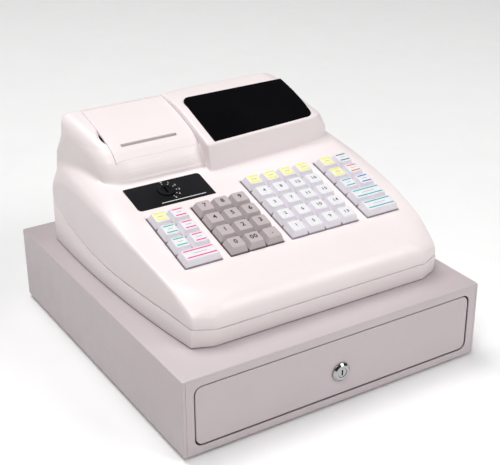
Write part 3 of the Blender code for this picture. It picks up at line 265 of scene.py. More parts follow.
def make_object(name, mesh, materials):
    if len(materials) == 1:
        mesh.materials.clear()
    for material in materials:
        mesh.materials.append(material)
    body = bpy.data.objects.new(name, mesh)
    bpy.context.scene.collection.objects.link(body)
    return body


def piece(name, mesh, slot, body, *nodes, materials=None):
    """A visible piece that rides a CAD body, in place of CAD nodes."""
    made = make_object(name, mesh, materials or [FINISH[slot]])
    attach(made, body)
    if nodes:
        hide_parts(*nodes)
    return made


def from_points(points, faces):
    """Mesh in metres from points in millimetres."""
    mesh = bpy.data.meshes.new("shape")
    mesh.from_pydata([tuple(c * MM for c in p) for p in points], [], faces)
    return mesh


def face_out(mesh):
    """The same mesh with its faces turned outwards."""
    build = bmesh.new()
    build.from_mesh(mesh)
    bmesh.ops.recalc_face_normals(build, faces=build.faces)
    build.to_mesh(mesh)
    build.free()
    return mesh


def loft(rings, place=None):
    """Closed rings with the same number of points, skinned and capped."""
    count = len(rings[0])
    points = [Vector(p) for ring in rings for p in ring]
    if place is not None:
        points = [place @ p for p in points]
    faces = []
    for r in range(len(rings) - 1):
        for i in range(count):
            j = (i + 1) % count
            faces.append((r * count + i, r * count + j, (r + 1) * count + j, (r + 1) * count + i))
    faces.append(tuple(range(count)))
    faces.append(tuple(range((len(rings) - 1) * count, len(rings) * count)))
    return face_out(from_points(points, faces))


def rounded(x0, x1, y0, y1, radii, steps=5):
    """Counter-clockwise outline from the lower left, with a radius for each corner."""
    corners = ((x0, y0, 180, 1, 1), (x1, y0, 270, -1, 1), (x1, y1, 0, -1, -1), (x0, y1, 90, 1, -1))
    outline = []
    for (x, y, start, sx, sy), radius in zip(corners, radii):
        for k in range(steps + 1):
            turn = math.radians(start + 90.0 * k / steps)
            outline.append((x + sx * radius + radius * math.cos(turn),
                            y + sy * radius + radius * math.sin(turn)))
    return outline


def block(x0, x1, y0, y1, levels, place=None, radius=1.0, steps=4):
    """Rounded-rectangle prism through (height, growth) levels."""
    rings = []
    for height, growth in levels:
        r = max(0.02, radius + growth)
        outline = rounded(x0 - growth, x1 + growth, y0 - growth, y1 + growth, (r,) * 4, steps)
        rings.append([(x, y, height) for x, y in outline])
    return loft(rings, place)


def joined(meshes):
    """Several meshes as one, keeping their material slots by index."""
    build = bmesh.new()
    for mesh in meshes:
        build.from_mesh(mesh)
    mesh = bpy.data.meshes.new("joined")
    build.to_mesh(mesh)
    build.free()
    return mesh


def painted(mesh, index):
    """The same mesh with all its faces on one material slot."""
    mesh.polygons.foreach_set("material_index", [index] * len(mesh.polygons))
    return mesh


def carve(target, cutters):
    """Cut whole meshes out of another; the result is baked into a new mesh."""
    holder = bpy.data.objects.new("carved", target)
    bpy.context.scene.collection.objects.link(holder)
    made = [holder]
    for mesh in cutters:
        cutter = bpy.data.objects.new("cutter", mesh)
        bpy.context.scene.collection.objects.link(cutter)
        made.append(cutter)
        step = holder.modifiers.new("carve", "BOOLEAN")
        step.operation = "DIFFERENCE"
        step.solver = "MANIFOLD"
        step.object = cutter
    bpy.context.view_layer.update()
    evaluated = holder.evaluated_get(bpy.context.evaluated_depsgraph_get())
    mesh = bpy.data.meshes.new_from_object(evaluated)
    for item in made:
        bpy.data.objects.remove(item, do_unlink=True)
    return mesh


def shade(body, angle):
    """Smooth shading, with the edges sharper than an angle left sharp."""
    body.data.shade_smooth()
    body.data.set_sharp_from_angle(angle=math.radians(angle))
    return body


def soften(body, width, angle=32.0):
    """Small round edges that catch the light."""
    edge = body.modifiers.new("edge", "BEVEL")
    edge.width = width * MM
    edge.segments = 2
    edge.limit_method = "ANGLE"
    edge.angle_limit = math.radians(angle)
    edge.harden_normals = True
    return shade(body, angle)


def refined(node, slot, body, width=0.3, cutters=()):
    """A CAD node's own shape with its flat faces merged, any grooves cut and its edges rounded."""
    build = bmesh.new()
    build.from_mesh(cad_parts[node].data)
    bmesh.ops.remove_doubles(build, verts=build.verts, dist=0.000002)
    bmesh.ops.dissolve_limit(build, angle_limit=math.radians(0.4), verts=build.verts, edges=build.edges)
    mesh = bpy.data.meshes.new(node)
    build.to_mesh(mesh)
    build.free()
    if cutters:
        mesh = carve(mesh, cutters)
    return soften(piece(f"{node}_shown", mesh, slot, body, node), width)


# ============================================================ implicit forms
def curve(points, dense=16):
    """Smooth reading of an outline of (position, value) points."""
    xs, ys = np.array(points, float).T
    slopes = np.gradient(ys, xs)
    at = np.concatenate([np.linspace(a, b, dense, endpoint=False) for a, b in zip(xs, xs[1:])] + [xs[-1:]])
    i = np.clip(np.searchsorted(xs, at, side="right") - 1, 0, len(xs) - 2)
    width = xs[i + 1] - xs[i]
    t = (at - xs[i]) / width
    value = ((2 * t ** 3 - 3 * t ** 2 + 1) * ys[i] + (t ** 3 - 2 * t ** 2 + t) * width * slopes[i]
             + (3 * t ** 2 - 2 * t ** 3) * ys[i + 1] + (t ** 3 - t ** 2) * width * slopes[i + 1])
    return lambda v: np.interp(v, at, value)


def both(a, b, radius):
    """Intersection of two forms, with a round edge."""
    u = np.maximum(a + radius, 0.0)
    v = np.maximum(b + radius, 0.0)
    return np.minimum(-radius, np.maximum(a, b)) + np.sqrt(u * u + v * v)


def either(a, b, radius):
    """Union of two forms, with a fillet."""
    return -both(-a, -b, radius)


def quarter(beyond, across, back):
    """Set-back of an elliptical plan corner."""
    share = np.clip(beyond / across, 0.0, 1.0)
    return back - back * np.sqrt(1.0 - share ** 2)


edge_drop = curve(EDGE_DROPS)


def half_width(y):
    u = y / SIDE_SPAN
    return HALF_WIDTH + SIDE_TAPER * u - SIDE_BOW * u * u


def seam_height(y):
    rise = SEAM_RISE * np.maximum(0.0, y - SEAM_RISE_FROM) ** 2
    dip = SEAM_DIP * (np.maximum(0.0, SEAM_DIP_FROM - y) / (SEAM_DIP_FROM - BODY_FRONT)) ** 2
    return SEAM_HEIGHT + rise - dip


def facet_field(x, y):
    """Distance in plan from the cut front corners."""
    corner_y = BODY_FRONT + FACET_DEPTH
    span = math.hypot(FACET_DEPTH, FACET_WIDTH)
    beyond = np.abs(x - BODY_X) - half_width(corner_y)
    return (beyond * FACET_DEPTH + (corner_y - y) * FACET_WIDTH) / span


def plan_field(x, y):
    """Distance in plan from the housing's outline: bowed sides, cut front corners, round back corners."""
    side = np.abs(x - BODY_X) - half_width(y)
    return both(both(side, facet_field(x, y), FACET_ROUND), y - BODY_BACK, BACK_CORNER)


def nose_field(y, h):
    """Distance from the middle cross-section: front face, nose arc, deck, level top."""
    deck = (h - DECK_HEIGHT - y * math.tan(DECK_ANGLE)) * math.cos(DECK_ANGLE)
    face = BODY_FRONT - y
    centre_y = BODY_FRONT + NOSE_RADIUS
    centre_h = (DECK_HEIGHT + BODY_FRONT * math.tan(DECK_ANGLE)
                - NOSE_RADIUS * math.tan((math.pi / 2 - DECK_ANGLE) / 2))
    dy, dh = y - centre_y, h - centre_h
    wedge = (dh > 0.0) & (dy * math.cos(DECK_ANGLE) + dh * math.sin(DECK_ANGLE) < 0.0)
    form = np.where(wedge, np.sqrt(dy * dy + dh * dh) - NOSE_RADIUS, np.maximum(deck, face))
    form = both(form, h - LEVEL_HEIGHT, LEVEL_BLEND)
    return both(form, y - BODY_BACK, REAR_ROUND)


def body_field(x, y, h):
    """The housing without its domes; the nose's arc runs round the cut corners."""
    corner = np.clip((BODY_FRONT + FACET_DEPTH - y) / FACET_DEPTH, 0.0, 1.0)
    wall = half_width(y) - FACET_WIDTH * corner
    share = np.clip((wall - np.abs(x - BODY_X)) / CROWN_WIDTH, 0.0, 1.0)
    drop = edge_drop(y) * (1.0 - share) ** 2
    depth = NOSE_INSET * (1.0 - facet_field(x, y))
    arc_y = np.where(depth < NOSE_REACH, np.minimum(y, BODY_FRONT + depth), y)
    lift = (y - arc_y) * math.tan(DECK_ANGLE)
    return both(plan_field(x, y), nose_field(arc_y, h + drop - lift), np.interp(y, *EDGE_ROUND))


def back_field(y, h, step_in):
    """The domes' back leans forwards to the crest."""
    behind = (y - CREST_Y + step_in) * BACK_RISE + (h - RIDGE_HEIGHT + CREST_ROUND) * BACK_LEAN
    return behind / math.hypot(BACK_RISE, BACK_LEAN)


def profile_table():
    """Distance to the printer dome's own outline, on a fine grid."""
    along = np.arange(*OUTLINE_ALONG, OUTLINE_STEP)
    up = np.arange(*OUTLINE_UP, OUTLINE_STEP)
    top = curve(PRINTER_OUTLINE)
    t = np.linspace(0.0, PRINTER_OUTLINE[-1][0], 600)
    line = np.concatenate([[(0.0, z) for z in np.linspace(-60.0, 0.0, 120)], np.stack([t, top(t)], 1)])
    grid_a, grid_u = np.meshgrid(along, up, indexing="ij")
    near = np.full(grid_a.shape, 1e9)
    for a, u in line:
        near = np.minimum(near, (grid_a - a) ** 2 + (grid_u - u) ** 2)
    inside = (grid_a > 0.0) & (grid_u < top(grid_a))
    return np.where(inside, -1.0, 1.0) * np.sqrt(near)


PROFILE = profile_table()


def profile_field(along, up):
    """The table's distance, read between its grid points."""
    a = np.clip((along - OUTLINE_ALONG[0]) / OUTLINE_STEP, 0.0, PROFILE.shape[0] - 1.001)
    u = np.clip((up - OUTLINE_UP[0]) / OUTLINE_STEP, 0.0, PROFILE.shape[1] - 1.001)
    i, j = a.astype(int), u.astype(int)
    s, t = a - i, u - j
    return ((1 - s) * (1 - t) * PROFILE[i, j] + s * (1 - t) * PROFILE[i + 1, j]
            + (1 - s) * t * PROFILE[i, j + 1] + s * t * PROFILE[i + 1, j + 1])


def printer_field(x, y, h):
    left = PRINTER_LEFT - PRINTER_FLARE * (y - PRINTER_FOOT - PRINTER_CORNER[1])
    depth = x - left
    foot = PRINTER_FOOT + quarter(PRINTER_CORNER[0] - depth, *PRINTER_CORNER)
    along = (y - foot) * PRINTER_LENGTH / (PRINTER_FOOT + PRINTER_LENGTH - foot)
    form = both(profile_field(along, h - PRINTER_BASE), back_field(y, h, PRINTER_SET_IN), CREST_ROUND)
    form = both(form, -depth * math.cos(math.atan(PRINTER_FLARE)), np.interp(h, *PRINTER_SIDE_ROUND))
    return np.maximum(form, x - DISPLAY_LEFT - DOME_OVERLAP)


def display_plane(y):
    return DISPLAY_RISE + y * math.tan(DISPLAY_SLOPE)


def display_field(x, y, h):
    set_back = quarter(x - DISPLAY_RIGHT + DISPLAY_CORNER[0], *DISPLAY_CORNER)
    foot = DISPLAY_FOOT + DISPLAY_SKEW * (x - DISPLAY_LEFT) + set_back
    brow = WINDOW[2] - WINDOW_BROW + WINDOW_BOW * (x - WINDOW[0]) / (WINDOW[1] - WINDOW[0]) + set_back
    low = LEVEL_HEIGHT - DISPLAY_SINK
    lean = (brow - foot) / (display_plane(brow) - low)
    face = (foot + np.maximum(h - low, 0.0) * lean - y) / np.sqrt(1.0 + lean ** 2)
    slope = (h - display_plane(y)) * math.cos(DISPLAY_SLOPE)
    left_share = np.clip((RIDGE_LEVEL - x) / (RIDGE_LEVEL - DISPLAY_LEFT), 0.0, 1.0)
    ridge = RIDGE_HEIGHT - RIDGE_DIP * left_share ** 2
    form = both(both(face, slope, BROW_ROUND), h - ridge, RIDGE_ROUND)
    form = both(form, back_field(y, h, 0.0), CREST_ROUND)
    form = both(form, DISPLAY_LEFT - x, DISPLAY_LEFT_ROUND)
    side = x - DISPLAY_RIGHT + DISPLAY_LEAN * np.maximum(h - LEVEL_HEIGHT - DISPLAY_SINK, 0.0)
    return both(form, side, np.interp(h, *DISPLAY_SIDE_ROUND))


def dish_field(x, y, h):
    """Finger dish beside the lid: an ellipsoid that leans with the dome."""
    middle_h = PRINTER_BASE + float(curve(PRINTER_OUTLINE)(DISH_Y - PRINTER_FOOT)) + DISH_LIFT
    dy, dh = y - DISH_Y, h - middle_h
    u = x - LID[0] - DISH_OUT
    v = dy * math.cos(DISH_TILT) + dh * math.sin(DISH_TILT)
    w = dh * math.cos(DISH_TILT) - dy * math.sin(DISH_TILT)
    reach = np.sqrt((u / DISH_SIZE[0]) ** 2 + (v / DISH_SIZE[1]) ** 2 + (w / DISH_SIZE[2]) ** 2)
    return (reach - 1.0) * DISH_SIZE[2]


def outer_field(x, y, h, dish=True):
    """The whole outer form: the housing, the two domes and the finger dish."""
    form = either(body_field(x, y, h), printer_field(x, y, h), np.interp(x, *PRINTER_FILLET))
    form = either(form, display_field(x, y, h), np.interp(x, *DISPLAY_FILLET))
    if dish:
        form = both(form, -dish_field(x, y, h), DISH_ROUND)
    return form


def skin(field, low, high, step):
    """Closed mesh where a field crosses zero: one point for each crossed cell, set on the surface."""
    axes = [np.arange(a, b + step, step) for a, b in zip(low, high)]
    grid = field(axes[0][:, None, None], axes[1][None, :, None], axes[2][None, None, :])
    grid = np.array(np.broadcast_to(grid, [len(a) for a in axes]))
    for axis in range(3):
        for layer in (0, -1):
            edge = np.moveaxis(grid, axis, 0)
            edge[layer] = np.maximum(edge[layer], step / 2)
    strides = np.array([len(axes[1]) * len(axes[2]), len(axes[2]), 1])
    cells, hits, quads = [], [], []
    for axis in range(3):
        near = np.take(grid, range(grid.shape[axis] - 1), axis)
        far = np.take(grid, range(1, grid.shape[axis]), axis)
        where = np.argwhere((near < 0) != (far < 0))
        a, b = near[tuple(where.T)], far[tuple(where.T)]
        point = where.astype(float)
        point[:, axis] += a / (a - b)
        u, w = (axis + 1) % 3, (axis + 2) % 3
        around = []
        for du, dw in ((0, 0), (-1, 0), (-1, -1), (0, -1)):
            cell = where.copy()
            cell[:, u] += du
            cell[:, w] += dw
            around.append(cell @ strides)
            cells.append(around[-1])
            hits.append(point)
        quad = np.stack(around, 1)
        quads.append(np.where((a < 0)[:, None], quad, quad[:, ::-1]))
    names, index = np.unique(np.concatenate(cells), return_inverse=True)
    index = index.ravel()
    hits = np.concatenate(hits)
    count = np.bincount(index)
    points = np.stack([np.bincount(index, hits[:, k]) / count for k in range(3)], 1)
    points = settle(field, points * step + np.array(low))
    faces = np.searchsorted(names, np.concatenate(quads))
    points += np.array(SHIFT)
    mesh = bpy.data.meshes.new("skin")
    mesh.from_pydata((points * MM).tolist(), [], faces.tolist())
    return mesh


def settle(field, points, rounds=2, reach=0.05):
    """Move points along the field's slope onto its zero surface."""
    for _ in range(rounds):
        value = field(*points.T)
        slope = np.stack([(field(*(points + reach * d).T) - field(*(points - reach * d).T)) / (2 * reach)
                          for d in np.eye(3)], 1)
        size = np.maximum((slope ** 2).sum(1), 0.05)
        move = -(value / size)[:, None] * slope
        points = points + np.clip(move, -0.5, 0.5)
    return points


# ==================================================================== housing
def deck_matrix():
    """Frame on the deck, in millimetres: X across, Y up the slope, Z out of it."""
    return Matrix.Translation(to_world(0.0, 0.0, DECK_HEIGHT)) @ Matrix.Rotation(DECK_ANGLE, 4, "X")


def display_matrix():
    """Frame on the display's sloping face."""
    return Matrix.Translation(to_world(0.0, 0.0, display_plane(0.0))) @ Matrix.Rotation(DISPLAY_SLOPE, 4, "X")


def window_outline(grow=0.0):
    """Two corners are round and two are nearly sharp; the lower edge runs back to the right."""
    x0, x1, y0, y1 = WINDOW
    steps, side_steps = 5, 8
    corners = rounded(x0, x1, y0, y1, WINDOW_CORNERS, steps)
    turn = 2 * (steps + 1)                 # the right edge starts before this point
    start, end = corners[turn - 1], corners[turn]
    side = [(x1, start[1] + (end[1] - start[1]) * k / side_steps) for k in range(1, side_steps)]
    outline = []
    for x, y in corners[:turn] + side + corners[turn:]:
        lower = (y1 - y) / (y1 - y0)
        bowed = y + WINDOW_BOW * lower * (x - x0) / (x1 - x0)
        if x > x1 - 2.0:
            x += WINDOW_SIDE * (1.0 - (2.0 * lower - 1.0) ** 2)
        out = (-grow if x < (x0 + x1) / 2 else grow, -grow if y < (y0 + y1) / 2 else grow)
        outline.append((x + out[0], (bowed + out[1]) / math.cos(DISPLAY_SLOPE)))
    return outline


def stacked(outline_at, levels, place):
    """Prism through (height, growth) levels of an outline function."""
    return loft([[(x, y, height) for x, y in outline_at(growth)] for height, growth in levels], place)


def upright(x0, x1, y0, y1, h0, h1, radius):
    """Upright prism in the register's own measures."""
    low, high = to_world(x0, y0, h0), to_world(x1, y1, h1)
    return block(low.x, high.x, low.y, high.y, [(low.z, 0.0), (high.z, 0.0)], radius=radius)


def block_span(name):
    """Outer edges of a block of keys on the deck."""
    first, count = COLUMNS[name]
    half = KEY_BASE / 2
    return (first - half, first + (count - 1) * PITCH + half,
            FRONT_ROW - half, FRONT_ROW + (ROWS[name] - 1) * PITCH + half)


def mode_outline(grow=0.0):
    x0, x1, y0, y1 = MODE_PANEL
    return rounded(x0 - grow, x1 + grow, y0 - grow, y1 + grow, (4.0 + grow, 0.4, 4.0 + grow, 0.4))


def circle(centre, radius, height, segments=48):
    turns = [math.tau * k / segments for k in range(segments)]
    return [(centre[0] + radius * math.cos(t), centre[1] + radius * math.sin(t), height) for t in turns]


def disc(centre, radius, low, high, place, segments=48):
    return loft([circle(centre, radius, height, segments) for height in (low, high)], place)


def seam_cut(lift):
    """Everything below the parting line."""
    left, right, low = -175.0, 180.0, -20.0
    rings = []
    for y in np.linspace(-160.0, 155.0, 80):
        top = float(seam_height(y)) + lift
        rings.append([to_world(x, y, h) for x, h in ((left, low), (left, top), (right, top), (right, low))])
    return loft(rings)


def top_cover():
    """Upper shell with the openings for the keys, the lid, the window and the mode panel."""
    form = skin(outer_field, *FORM_BOX, FORM_STEP)
    hollow = skin(lambda x, y, h: outer_field(x, y, h, dish=False) + WALL, *FORM_BOX, HOLLOW_STEP)
    cutters = [hollow, seam_cut(SEAM / 2)]
    deck = deck_matrix()
    for name in COLUMNS:
        x0, x1, y0, y1 = block_span(name)
        m = WELL_MARGIN
        cutters.append(block(x0 - m, x1 + m, y0 - m, y1 + m, WELL_CUT, deck, radius=0.9))
    cutters.append(stacked(mode_outline, MODE_CUT, deck))
    cutters.append(disc(MODE_CENTRE, MODE_RADIUS + LOCK_GAP, -7.0, 3.0, deck))
    cutters.append(stacked(window_outline, WINDOW_CUT, display_matrix()))
    cutters.append(stacked(window_outline, WINDOW_HOLE, display_matrix()))
    side, front, back = LID_GAPS
    cutters.append(upright(LID[0] - side, LID[1] + side, LID[2] - front, LID[3] + back,
                           99.0, 160.0, radius=0.4))
    mesh = carve(form, cutters)
    shade(piece("top_cover_form", mesh, "warm_white_plastic", "register", "top_cover"), 34.0)


def printer_lid():
    """Lid cut from the same outer form, as thick as its wall, with the receipt slit."""
    x0, x1, y0, y1 = LID

    def lid_field(x, y, h):
        form = outer_field(x, y, h, dish=False)
        shell = np.maximum(form, -form - WALL)
        edge = np.maximum(np.maximum(x0 - x, x - x1), np.maximum(y0 - y, y - y1))
        return both(shell, edge, 0.2)

    mesh = skin(lid_field, (x0 - 3, y0 - 3, 95.0), (x1 + 3, y1 + 3, 145.0), LID_STEP)
    mesh = carve(mesh, [upright(*SLIT, 100.0, 140.0, radius=0.6)])
    shade(piece("printer_lid_form", mesh, "warm_white_plastic", "printer_lid", "printer_lid"), 34.0)


def plan_outline(inset):
    """The housing's plan outline, moved inwards."""
    corner = BODY_FRONT + FACET_DEPTH
    right = [(half_width(corner) - FACET_WIDTH, BODY_FRONT)]
    round_y = BODY_BACK - BACK_CORNER
    for y in np.linspace(corner, round_y, 60):
        right.append((float(half_width(y)), float(y)))
    wide = float(half_width(round_y)) - BACK_CORNER
    for angle in np.linspace(0.15, math.pi / 2, 8):
        right.append((wide + BACK_CORNER * math.cos(angle), round_y + BACK_CORNER * math.sin(angle)))
    ring = [(BODY_X + x, y) for x, y in right] + [(BODY_X - x, y) for x, y in reversed(right)]
    if inset == 0.0:
        return ring
    moved = []
    for i, (x, y) in enumerate(ring):
        before, after = Vector(ring[i - 1]), Vector(ring[(i + 1) % len(ring)])
        a = (Vector((x, y)) - before).normalized()
        b = (after - Vector((x, y))).normalized()
        normal = Vector((-(a.y + b.y), a.x + b.x)).normalized()
        reach = inset / max(0.5, normal.dot(Vector((-a.y, a.x))))
        moved.append((x + normal.x * reach, y + normal.y * reach))
    return moved


def base_housing():
    """Tub with a rolled foot, a small top edge and the inner lip that closes the shadow groove."""
    lip = SEAM / 2 - FIT_GAP
    # inset from the outline, then height from the seam or else from the drawer
    levels = [(1.6, None, 1.0), (0.5, None, 1.2), (0.0, None, 1.9), (0.0, -SEAM / 2 - 0.5, 0.0),
              (0.15, -SEAM / 2 - 0.15, 0.0), (0.5, -SEAM / 2, 0.0), (SEAM_DEPTH, -SEAM / 2, 0.0),
              (SEAM_DEPTH, lip, 0.0), (SEAM_DEPTH + 1.8, lip, 0.0), (SEAM_DEPTH + 1.8, None, 3.6)]
    rings = []
    for inset, lift, height in levels:
        ring = []
        for (x, y), (_, outer_y) in zip(plan_outline(inset), plan_outline(0.0)):
            top = float(seam_height(outer_y))
            h = height if lift is None else top + lift
            forward = (BASE_LEAN_FROM - outer_y) / (BASE_LEAN_FROM - BODY_FRONT)
            lean = BASE_LEAN * (1.0 - h / top) * min(1.0, max(0.0, forward))
            ring.append(to_world(x, y + max(0.0, lean), h))
        rings.append(ring)
    mesh = loft(rings)
    low, high = (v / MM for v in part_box("power_inlet"))
    hole = block(low.x - FIT_GAP, high.x + FIT_GAP, low.z - FIT_GAP, high.z + FIT_GAP,
                 [(-high.y - 8.0, 0.0), (-high.y + 12.0, 0.0)],
                 Matrix.Rotation(math.pi / 2, 4, "X"), radius=0.5)
    mesh = carve(mesh, [hole])
    shade(piece("base_housing_form", mesh, "warm_white_plastic", "register", "base_housing"), 28.0)


# =================================================================== keyboard
def cap(x, v, across=1, dished=True):
    """Keycap: straight skirt in a darker colour that is painted shade for the gaps between caps, sloped
    sides, round top edge and a shallow dish.
    """
    wide = (across - 1) * PITCH / 2
    rings = []
    for level, half, radius in CAP_RINGS:
        outline = rounded(-half - wide, half + wide, -half, half, (radius,) * 4, 4)
        ring = []
        for cx, cy in outline:
            share = min(1.0, abs(cx) / (KEY_TOP / 2 + wide))
            sink = CAP_DISH * (1.0 - share ** 2) if dished and level == CAP_TOP else 0.0
            ring.append((x + cx, v + cy, level - sink))
        rings.append(ring)
    mesh = loft(rings, deck_matrix())
    # the skirt's faces, below level 0.8, go on slot 1: painted shade for the gaps between caps
    skirt = 2 * len(rings[0])
    mesh.polygons.foreach_set("material_index", [1] * skirt + [0] * (len(mesh.polygons) - skirt))
    return mesh


def label(x, v, half_x, half_y, level, radius=0.5):
    """Thin plate or bar on a cap, with its top at a level."""
    return block(x - half_x, x + half_x, v - half_y, v + half_y, [(level - LABEL_THICK, 0.0), (level, 0.0)],
                 deck_matrix(), radius=radius)


def digits(text, x, v, size, level):
    """Generic numbers on the deck as thin raised print, one character at a time."""
    if len(text) > 1:
        step = 0.56 * size
        start = x - step * (len(text) - 1) / 2
        return joined([digits(c, start + k * step, v, size, level) for k, c in enumerate(text)])
    words = bpy.data.curves.new("digits", "FONT")
    words.body = text
    words.size = size
    words.align_x = "CENTER"
    words.align_y = "CENTER"
    words.extrude = 0.03
    words.offset = 0.018 * size
    holder = bpy.data.objects.new("digits", words)
    bpy.context.scene.collection.objects.link(holder)
    bpy.context.view_layer.update()
    evaluated = holder.evaluated_get(bpy.context.evaluated_depsgraph_get())
    mesh = bpy.data.meshes.new_from_object(evaluated)
    bpy.data.objects.remove(holder, do_unlink=True)
    build = bmesh.new()
    build.from_mesh(mesh)
    bmesh.ops.remove_doubles(build, verts=build.verts, dist=0.0005)
    build.transform(Matrix.Translation((x, v, level)))
    build.transform(deck_matrix())
    build.transform(Matrix.Scale(MM, 4))
    build.to_mesh(mesh)
    build.free()
    return mesh


CAP_INKS = {
    "keys_left_row_3": ("yellow", "pink"), "keys_left_row_2": ("green", "pink"),
    "keys_left_row_1": ("green", "pink"), "key_clear": ("pink",),
    "keys_right_row_4": ("yellow", "dark_teal"), "keys_right_row_3": ("yellow", "orange"),
    "keys_right_row_2": ("teal", "blue"), "key_subtotal": ("teal",), "key_cash": ("teal",),
    "keys_department_row_5": ("yellow",) * 4,
}


def function_caps(node, block_name, row, across=1, count=1):
    """Clear caps over a white label with coloured bars, or with a number on the plain ones."""
    inks = CAP_INKS.get(node)
    # slot 1 is the painted shade on the caps' skirts
    names = ["lilac_painted_shade", "label", "ink", "grey_ink", "pale_yellow"] + sorted(set(inks or ()))
    materials = [FINISH["lilac_key"]] + [PRINT[n] for n in names]
    meshes = []
    v = FRONT_ROW + row * PITCH
    for k in range(count):
        x = COLUMNS[block_name][0] + k * PITCH + (across - 1) * PITCH / 2
        half_x = LABEL_HALF[0] + (across - 1) * PITCH / 2
        meshes.append(cap(x, v, across, dished=False))
        paper = "pale_yellow" if inks and inks[k] == "yellow" else "label"
        meshes.append(painted(label(x, v, half_x, LABEL_HALF[1], LABEL_LEVEL), 1 + names.index(paper)))
        if inks:
            for end in (-1, 1):
                bar = label(x, v + end * BAR_PLACE, half_x - BAR_INSET, BAR_HALF, BAR_LEVEL, 0.2)
                meshes.append(painted(bar, 1 + names.index(inks[k])))
            line = label(x, v, half_x * LINE_SHARE, LINE_HALF, LINE_LEVEL, 0.1)
            meshes.append(painted(line, 1 + names.index("grey_ink")))
        else:
            number = digits(str(row + 1 + 4 * k), x, v, NUMBER_SIZE, NUMBER_LEVEL)
            meshes.append(painted(number, 1 + names.index("ink")))
    mesh = joined(meshes)
    made = piece(f"{node}_caps", mesh, "lilac_key", node, node, materials=materials)
    shade(made, 40.0)


def number_cap(node, text, row, column):
    """Grey cap with its number in the dish."""
    x = COLUMNS["numeric"][0] + column * PITCH
    v = FRONT_ROW + row * PITCH
    mesh = joined([cap(x, v), painted(digits(text, x, v + DIGIT_LIFT, DIGIT_SIZE, DIGIT_LEVEL), 2)])
    # slot 1 is the painted shade on the cap's skirt, slot 2 the ink of its number
    made = piece(f"{node}_cap", mesh, "grey_key", node, node,
                 materials=[FINISH["grey_key"], PRINT["grey_painted_shade"], PRINT["ink"]])
    shade(made, 40.0)


def keyboard():
    rows = (("0", "00", "point"), ("1", "2", "3"), ("4", "5", "6"), ("7", "8", "9"))
    for row, names in enumerate(rows):
        for column, name in enumerate(names):
            number_cap(f"key_{name}", "." if name == "point" else name, row, column)
    function_caps("key_clear", "left", 0, across=2)
    function_caps("key_cash", "right", 0, across=2)
    function_caps("key_subtotal", "right", 1, across=2)
    for row in (1, 2, 3):
        function_caps(f"keys_left_row_{row}", "left", row, count=2)
    for row in (2, 3, 4):
        function_caps(f"keys_right_row_{row}", "right", row, count=2)
    for row in range(5):
        function_caps(f"keys_department_row_{row + 1}", "department", row, count=4)
    refined("keyboard_plate", "till_plastic", "register")


# ==================================================== mode lock and the window
def mode_panel():
    """Black panel with six position marks round its lock, numbered 0 to 5."""
    deck = deck_matrix()
    plate = stacked(mode_outline, [(-0.9, 0.0), (0.05, 0.0), (0.2, -0.15)], deck)
    plate = carve(plate, [disc(MODE_CENTRE, MODE_RADIUS + FIT_GAP, -3.0, 3.0, deck)])
    meshes = [painted(plate, 0)]
    x, y = MODE_CENTRE
    for k in range(6):
        turn = math.radians(MODE_FIRST - MODE_STEP * k)
        across, up = math.cos(turn), math.sin(turn)
        mark = disc((x + MARK_RING * across, y + MARK_RING * up), 0.5, 0.18, 0.24, deck, 12)
        number = digits(str(k), x + NUMBER_RING * across, y + NUMBER_RING * up, 3.0, 0.21)
        meshes += [painted(mark, 1), painted(number, 1)]
    x0, x1, y0, _ = MODE_PANEL
    bar = block(x0 + 26.0, x1 - 9.0, y0 + 3.6, y0 + 4.4, [(0.15, 0.0), (0.24, 0.0)], deck, radius=0.2)
    meshes.append(painted(bar, 1))
    made = piece("mode_panel_plate", joined(meshes), "black_plastic", "register", "mode_panel",
                 materials=[FINISH["black_plastic"], PRINT["pale_ink"]])
    shade(made, 30.0)


def mode_lock():
    """Lock rotor with a chamfered rim, a recessed face and a keyway."""
    deck = deck_matrix()
    turned = ((MODE_RADIUS, -15.5), (MODE_RADIUS, 1.4), (8.2, 1.85), (7.4, 2.0), (5.6, 2.0), (5.3, 1.7),
              (5.2, 1.2), (3.0, 1.2), (0.8, 1.2))
    form = loft([circle(MODE_CENTRE, radius, height) for radius, height in turned], deck)
    x, y = MODE_CENTRE
    wide, long = 1.1, 4.5
    keyway = block(x - wide, x + wide, y - long, y + long, [(-7.0, 0.0), (4.0, 0.0)], deck, radius=0.4)
    made = piece("mode_lock_rotor", carve(form, [keyway]), "black_plastic", "mode_lock", "mode_lock")
    shade(made, 30.0)


def display_window():
    """Dark pane with a small round edge."""
    levels = [(-WINDOW_THICK, 0.0), (-0.35, 0.0), (-0.08, -0.1), (0.0, -0.35)]
    mesh = stacked(window_outline, levels, display_matrix())
    shade(piece("display_glazing", mesh, "smoked_window", "register", "display_window"), 50.0)


# ================================================================ carried over
def case_folds():
    """Joints of the folded sheet: a fine line down each side of the case's front."""
    low, high = (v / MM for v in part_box("drawer_case"))
    cuts = []
    for edge, turn in ((low.x, 1.0), (high.x, -1.0)):
        x = edge + turn * FOLD_INSET
        cuts.append(block(x - FOLD_LINE / 2, x + FOLD_LINE / 2, low.y - 1.0, low.y + FOLD_LINE,
                          [(low.z - 1.0, 0.0), (high.z - FOLD_INSET, 0.0)], radius=0.05))
    return cuts


